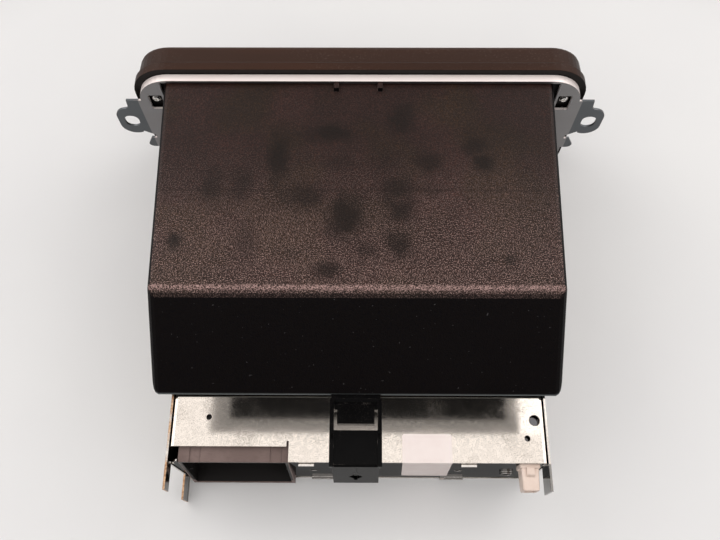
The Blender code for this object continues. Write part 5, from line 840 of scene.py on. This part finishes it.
# %% Finish: sleeve and smoked window
STRIPE_FROM, STRIPE_FULL, BARE_TOP = 0.0016, 0.0012, 0.0004
can_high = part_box("filter_capacitor_1")[1]
tree, shader = start_finish("blue_sleeve", IOR=1.5)
stripe = mask(tree, place_parts(tree)["Y"], can_high.y - STRIPE_FROM, can_high.y - STRIPE_FULL)
bare = beyond(tree, "Z", can_high.z - BARE_TOP)
wrinkles = noise(tree, 700.0, 2.0, 0.5, (1.0, 1.0, 0.1))
sleeve = blend_colours(tree, stripe, (0.020, 0.040, 0.140), (0.62, 0.64, 0.68))
connect(tree, shader, Base_Color=blend_colours(tree, bare, sleeve, (0.72, 0.72, 0.72)),
        Metallic=bare, Roughness=ramp(tree, wrinkles, 0.12, 0.26),
        Normal=relief(tree, wrinkles, 0.00004, 0.4))
tree, shader = start_finish("display_glass", IOR=1.49, Coat_Weight=0.6, Coat_Roughness=0.04)
edges = use(tree, edge_group, Radius=0.0004, Patchiness=0.0)
wipes = mask(tree, noise(tree, 70.0, 4.0, 0.6, (0.3, 1.0, 1.0)), 0.40, 0.75)
tint = blend_colours(tree, wipes, (0.0050, 0.0075, 0.0085), (0.0070, 0.0100, 0.0110))
connect(tree, shader, Base_Color=tint, Normal=edges["Normal"],
        Roughness=ramp(tree, wipes, 0.06, 0.05))
print("finish: sleeve and window")

# %% [markdown]
# ## Give every node its finish
#
# Most nodes keep the slot name that they came with, and the finish of that name replaces what is
# in the slot. A few nodes get a finish of their own, because they are two things in one, or a
# different grade of the same sheet.

# %% Assign the finishes
OWN_FINISH = {
    "chassis_tray": "tray sheet", "deck_base": "deck sheet", "deck_cover": "deck sheet",
    "rear_panel": "wall sheet", "tuner_can": "tuner sheet in painted shade", "front_board": "front board",
    "connector_pins": "carrier and pins", "display_module": "display board"}
for name, node in nodes.items():
    for slot in node.material_slots:
        slot.material = finishes[OWN_FINISH.get(name, slot.material.name.split(".")[0])]
print("nodes with a finish:", len(nodes))

# %% [markdown]
# The table is pale and nearly matt. Far from the radio the lamps don't reach it, so it turns there
# into a plain pale surface that the camera and the mirrors see as bright as the room. Near the
# radio it is lit by the lamps alone, and keeps the shadow.

# %% Finish: table and card
NEAR, FAR = 0.30, 0.60
tree, shader = start_finish("table top", Specular_IOR_Level=0.0)
patchy = mask(tree, noise(tree, 6.0, 3.0), 0.3, 0.7)
away = add(tree, "VectorMath", {0: object_place(tree)}, operation="LENGTH")
far = mask(tree, away.outputs["Value"], NEAR, FAR)
plain = blend_colours(tree, patchy, (0.80, 0.805, 0.81), (0.775, 0.78, 0.79))
connect(tree, shader, Base_Color=blend_colours(tree, far, plain, (0.0, 0.0, 0.0)),
        Roughness=ramp(tree, patchy, 0.1, 0.6),
        Normal=relief(tree, noise(tree, 900.0, 2.0), 0.00006, 0.3),
        Emission_Color=blend_colours(tree, far, (0.0, 0.0, 0.0), PALE_ROOM),
        Emission_Strength=times(tree, far, seen_directly(tree)))
table.data.materials.append(finishes["table top"])
tree, shader = start_finish("matt black card")
nap = noise(tree, 40.0, 2.0)
black = blend_colours(tree, nap, (0.001, 0.001, 0.001), (0.003, 0.003, 0.003))
connect(tree, shader, Base_Color=black, Roughness=ramp(tree, nap, 0.05, 0.95))
card.data.materials.append(finishes["matt black card"])
print("the table is plain from", FAR, "m on")

# %% [markdown]
# ## The sticker
#
# A paper sticker lies on the lid and is folded down over its back edge, a little askew where it
# was pressed round the corner. It starts as one flat face on the lid. Its back edge is selected by
# its place and pulled out step by step: over the corner, in under the lid's lip, and down the
# back wall. Its four free corners are rounded, and Solidify then gives the paper its thickness.

# %% Helpers to select and finish a piece
def work_on(obj):
    """Only this object selected and active, because an operator acts on all that is selected."""
    if bpy.context.mode != "OBJECT":
        bpy.ops.object.mode_set(mode="OBJECT")
    bpy.ops.object.select_all(action="DESELECT")
    obj.select_set(True)
    bpy.context.view_layer.objects.active = obj


def select_where(kind, wanted):
    """In edit mode, select the verts or the edges whose middle passes a test."""
    bpy.ops.mesh.select_all(action="DESELECT")
    bpy.ops.mesh.select_mode(type=kind)
    bpy.ops.object.mode_set(mode="OBJECT")
    mesh = bpy.context.object.data
    for item in {"VERT": mesh.vertices, "EDGE": mesh.edges}[kind]:
        ends = [item.index] if kind == "VERT" else item.vertices
        item.select = wanted(sum((mesh.vertices[i].co for i in ends), Vector()) / len(ends))
    bpy.ops.object.mode_set(mode="EDIT")


def settle(obj, body):
    """The place goes into the mesh, and the piece rides on its body."""
    work_on(obj)
    bpy.ops.object.transform_apply(location=True, rotation=True, scale=True)
    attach(obj, body)


print("helpers ready")

# %% Shape the sticker
STICKER_LOW, STICKER_HIGH = -0.0438, -0.0207
STICKER_START, STICKER_FOOT = 0.0886, 0.0115
STICKER_SKEW = -0.0013
STICKER_LIFT = 0.00004
WALL_INSET, HAIR = 0.0004, 0.0001
lid_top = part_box("top_cover")[1].z
wall_face = chassis_back - WALL_INSET
edge_y, paper_z = chassis_back + STICKER_LIFT, lid_top + STICKER_LIFT
route = ((edge_y + 0.00006, lid_top - 0.0001), (edge_y + 0.00008, lid_top - 0.0010),
         (wall_face + 0.00012, lid_top - 0.0028), (wall_face + STICKER_LIFT, 0.030),
         (wall_face + STICKER_LIFT, STICKER_FOOT))
bpy.ops.object.select_all(action="DESELECT")
bpy.ops.mesh.primitive_plane_add(size=1, location=(0, 0, 0))
sticker = bpy.context.object
sticker.name = "sticker"
sticker.scale = (STICKER_HIGH - STICKER_LOW, edge_y - STICKER_START, 1)
sticker.location = ((STICKER_LOW + STICKER_HIGH) / 2, (STICKER_START + edge_y) / 2, paper_z)
bpy.ops.object.transform_apply(location=True, rotation=True, scale=True)
bpy.ops.object.mode_set(mode="EDIT")
last_y, last_z = edge_y, paper_z
select_where("EDGE", lambda middle: middle.y > edge_y - HAIR)
for y, z in route:
    share = (last_z - z) / (lid_top - STICKER_FOOT)
    bpy.ops.mesh.extrude_region_move(TRANSFORM_OT_translate={
        "value": (STICKER_SKEW * share, y - last_y, z - last_z)})
    last_y, last_z = y, z
bpy.ops.object.mode_set(mode="OBJECT")
print("the sticker's size:", [round(v * 1000, 1) for v in sticker.dimensions], "mm")

# %% Give the sticker its thickness and its round corners
PAPER, PAPER_CORNER = 0.00008, 0.0012
work_on(sticker)
bpy.ops.object.mode_set(mode="EDIT")
select_where("VERT", lambda v: v.y < STICKER_START + HAIR or v.z < STICKER_FOOT + HAIR)
bpy.ops.mesh.bevel(offset=PAPER_CORNER, segments=4, affect="VERTICES")
bpy.ops.mesh.select_all(action="SELECT")
bpy.ops.mesh.normals_make_consistent(inside=False)
bpy.ops.object.mode_set(mode="OBJECT")
if sum(face.normal.z for face in sticker.data.polygons if face.center.z > lid_top) < 0:
    bpy.ops.object.mode_set(mode="EDIT")
    bpy.ops.mesh.flip_normals()
    bpy.ops.object.mode_set(mode="OBJECT")
paper = sticker.modifiers.new("paper", "SOLIDIFY")
paper.thickness = PAPER
paper.offset = 1.0
bpy.ops.object.modifier_apply(modifier="paper")
bpy.ops.object.shade_smooth_by_angle(angle=math.radians(30))
settle(sticker, "chassis")
print("sticker faces:", len(sticker.data.polygons))

# %% [markdown]
# Paper is matt and slightly fibrous, and where it bends over the corner and has been rubbed it is
# greyer. The adhesive picks up dirt at its border, so the colour there is a little darker.

# %% Finish: sticker paper
tree, shader = start_finish("sticker paper", IOR=1.4)
fibres = noise(tree, 2600.0, 3.0, 0.6)
tint = mask(tree, noise(tree, 70.0, 3.0), 0.35, 0.70)
edges = use(tree, edge_group, Radius=0.0003, Patchiness=0.5)
paper = blend_colours(tree, tint, (0.87, 0.785, 0.76), (0.83, 0.735, 0.71))
dirt = mask(tree, noise(tree, 300.0, 4.0, 0.7), 0.60, 0.75)
paper = blend_colours(tree, times(tree, dirt, 0.18), paper, (0.50, 0.43, 0.39))
paper = blend_colours(tree, times(tree, edges["Mask"], 0.6), paper, (0.58, 0.52, 0.48))
connect(tree, shader, Base_Color=paper, Normal=relief(tree, fibres, 0.00002, 0.4),
        Roughness=ramp(tree, fibres, 0.2, 0.45))
sticker.data.materials.append(finishes["sticker paper"])
print("finish: sticker paper")

# %% [markdown]
# ## Marks on the keys
#
# The front can't be seen in the picture. Such a radio has a row of numbered keys and a few with a
# plain sign, printed in thin white ink. A number starts as a text object, because a font already
# holds its outline. It is given a thickness and made a mesh first, and only then laid on its key.

# %% Lay a mark on a key
INK = 0.00006


def lay_on_key(mark, name, key):
    """Stand a flat mark upright, put it in the middle of a key's front, and let it ride there."""
    low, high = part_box(key)
    work_on(mark)
    mark.name = name
    mark.rotation_euler = (math.radians(90), 0, 0)
    mark.location = ((low.x + high.x) / 2, low.y - INK / 2, (low.z + high.z) / 2)
    mark.data.materials.clear()
    mark.data.materials.append(finishes["key ink"])
    settle(mark, key)


tree, shader = start_finish("key ink", IOR=1.45)
thin = mask(tree, noise(tree, 1800.0, 3.0, 0.6), 0.55, 0.75)
white = blend_colours(tree, thin, (0.72, 0.71, 0.68), (0.45, 0.44, 0.42))
connect(tree, shader, Base_Color=white, Roughness=ramp(tree, thin, 0.2, 0.45),
        Normal=relief(tree, thin, 0.00001, 0.3))
print("the ink is", INK * 1000, "mm thick")

# %% Numbers on the preset keys
NUMBER_HEIGHT = 0.0046
for number in range(1, 7):
    bpy.ops.object.select_all(action="DESELECT")
    bpy.ops.object.text_add(location=(0, 0, 0))
    figure = bpy.context.object
    figure.data.body = str(number)
    figure.data.size = NUMBER_HEIGHT
    figure.data.align_x = "CENTER"
    figure.data.align_y = "CENTER"
    figure.data.extrude = INK / 2
    figure.data.resolution_u = 4
    bpy.ops.object.convert(target="MESH")
    lay_on_key(bpy.context.object, f"figure_{number}", f"preset_button_{number}")
print("numbered keys:", number)

# %% [markdown]
# A sign is a flat polygon: three corners make an arrow, many make a dot, four make a bar. Its
# corners are rounded by a vertex bevel, and then the face is extruded to the thickness of the ink.

# %% Signs on the other keys
def flat_sign(corners, radius, turn=0.0, stretch=(1.0, 1.0), rounding=0.0003, shift=0.0):
    """A rounded polygon of ink that lies on the ground, ready to be laid on a key."""
    bpy.ops.object.select_all(action="DESELECT")
    bpy.ops.mesh.primitive_circle_add(vertices=corners, radius=radius, fill_type="NGON",
                                      rotation=(0, 0, math.radians(turn)))
    sign = bpy.context.object
    bpy.ops.object.transform_apply(location=False, rotation=True, scale=False)
    sign.scale = (*stretch, 1)
    sign.location = (0, shift, -INK / 2)
    bpy.ops.object.transform_apply(location=True, rotation=False, scale=True)
    bpy.ops.object.mode_set(mode="EDIT")
    bpy.ops.mesh.select_all(action="SELECT")
    if rounding:
        bpy.ops.mesh.bevel(offset=rounding, segments=3, affect="VERTICES")
    bpy.ops.mesh.select_all(action="SELECT")
    bpy.ops.mesh.extrude_region_move(TRANSFORM_OT_translate={"value": (0, 0, INK)})
    bpy.ops.mesh.select_all(action="SELECT")
    bpy.ops.mesh.normals_make_consistent(inside=False)
    bpy.ops.object.mode_set(mode="OBJECT")
    return sign


lay_on_key(flat_sign(3, 0.0019), "arrow_up", "seek_up_button")
lay_on_key(flat_sign(3, 0.0019, turn=180), "arrow_down", "seek_down_button")
lay_on_key(flat_sign(28, 0.0013, rounding=0), "dot_source", "source_button")
bar = flat_sign(4, 0.0028, turn=45, stretch=(1.0, 0.28), rounding=0.0002)
lay_on_key(bar, "bar_band", "band_button")
arrow = flat_sign(3, 0.0017, shift=0.0005)
bar = flat_sign(4, 0.0021, turn=45, stretch=(1.0, 0.25), rounding=0.0001, shift=-0.0012)
work_on(arrow)
bar.select_set(True)
bpy.ops.object.join()
lay_on_key(bpy.context.object, "eject_sign", "eject_button")
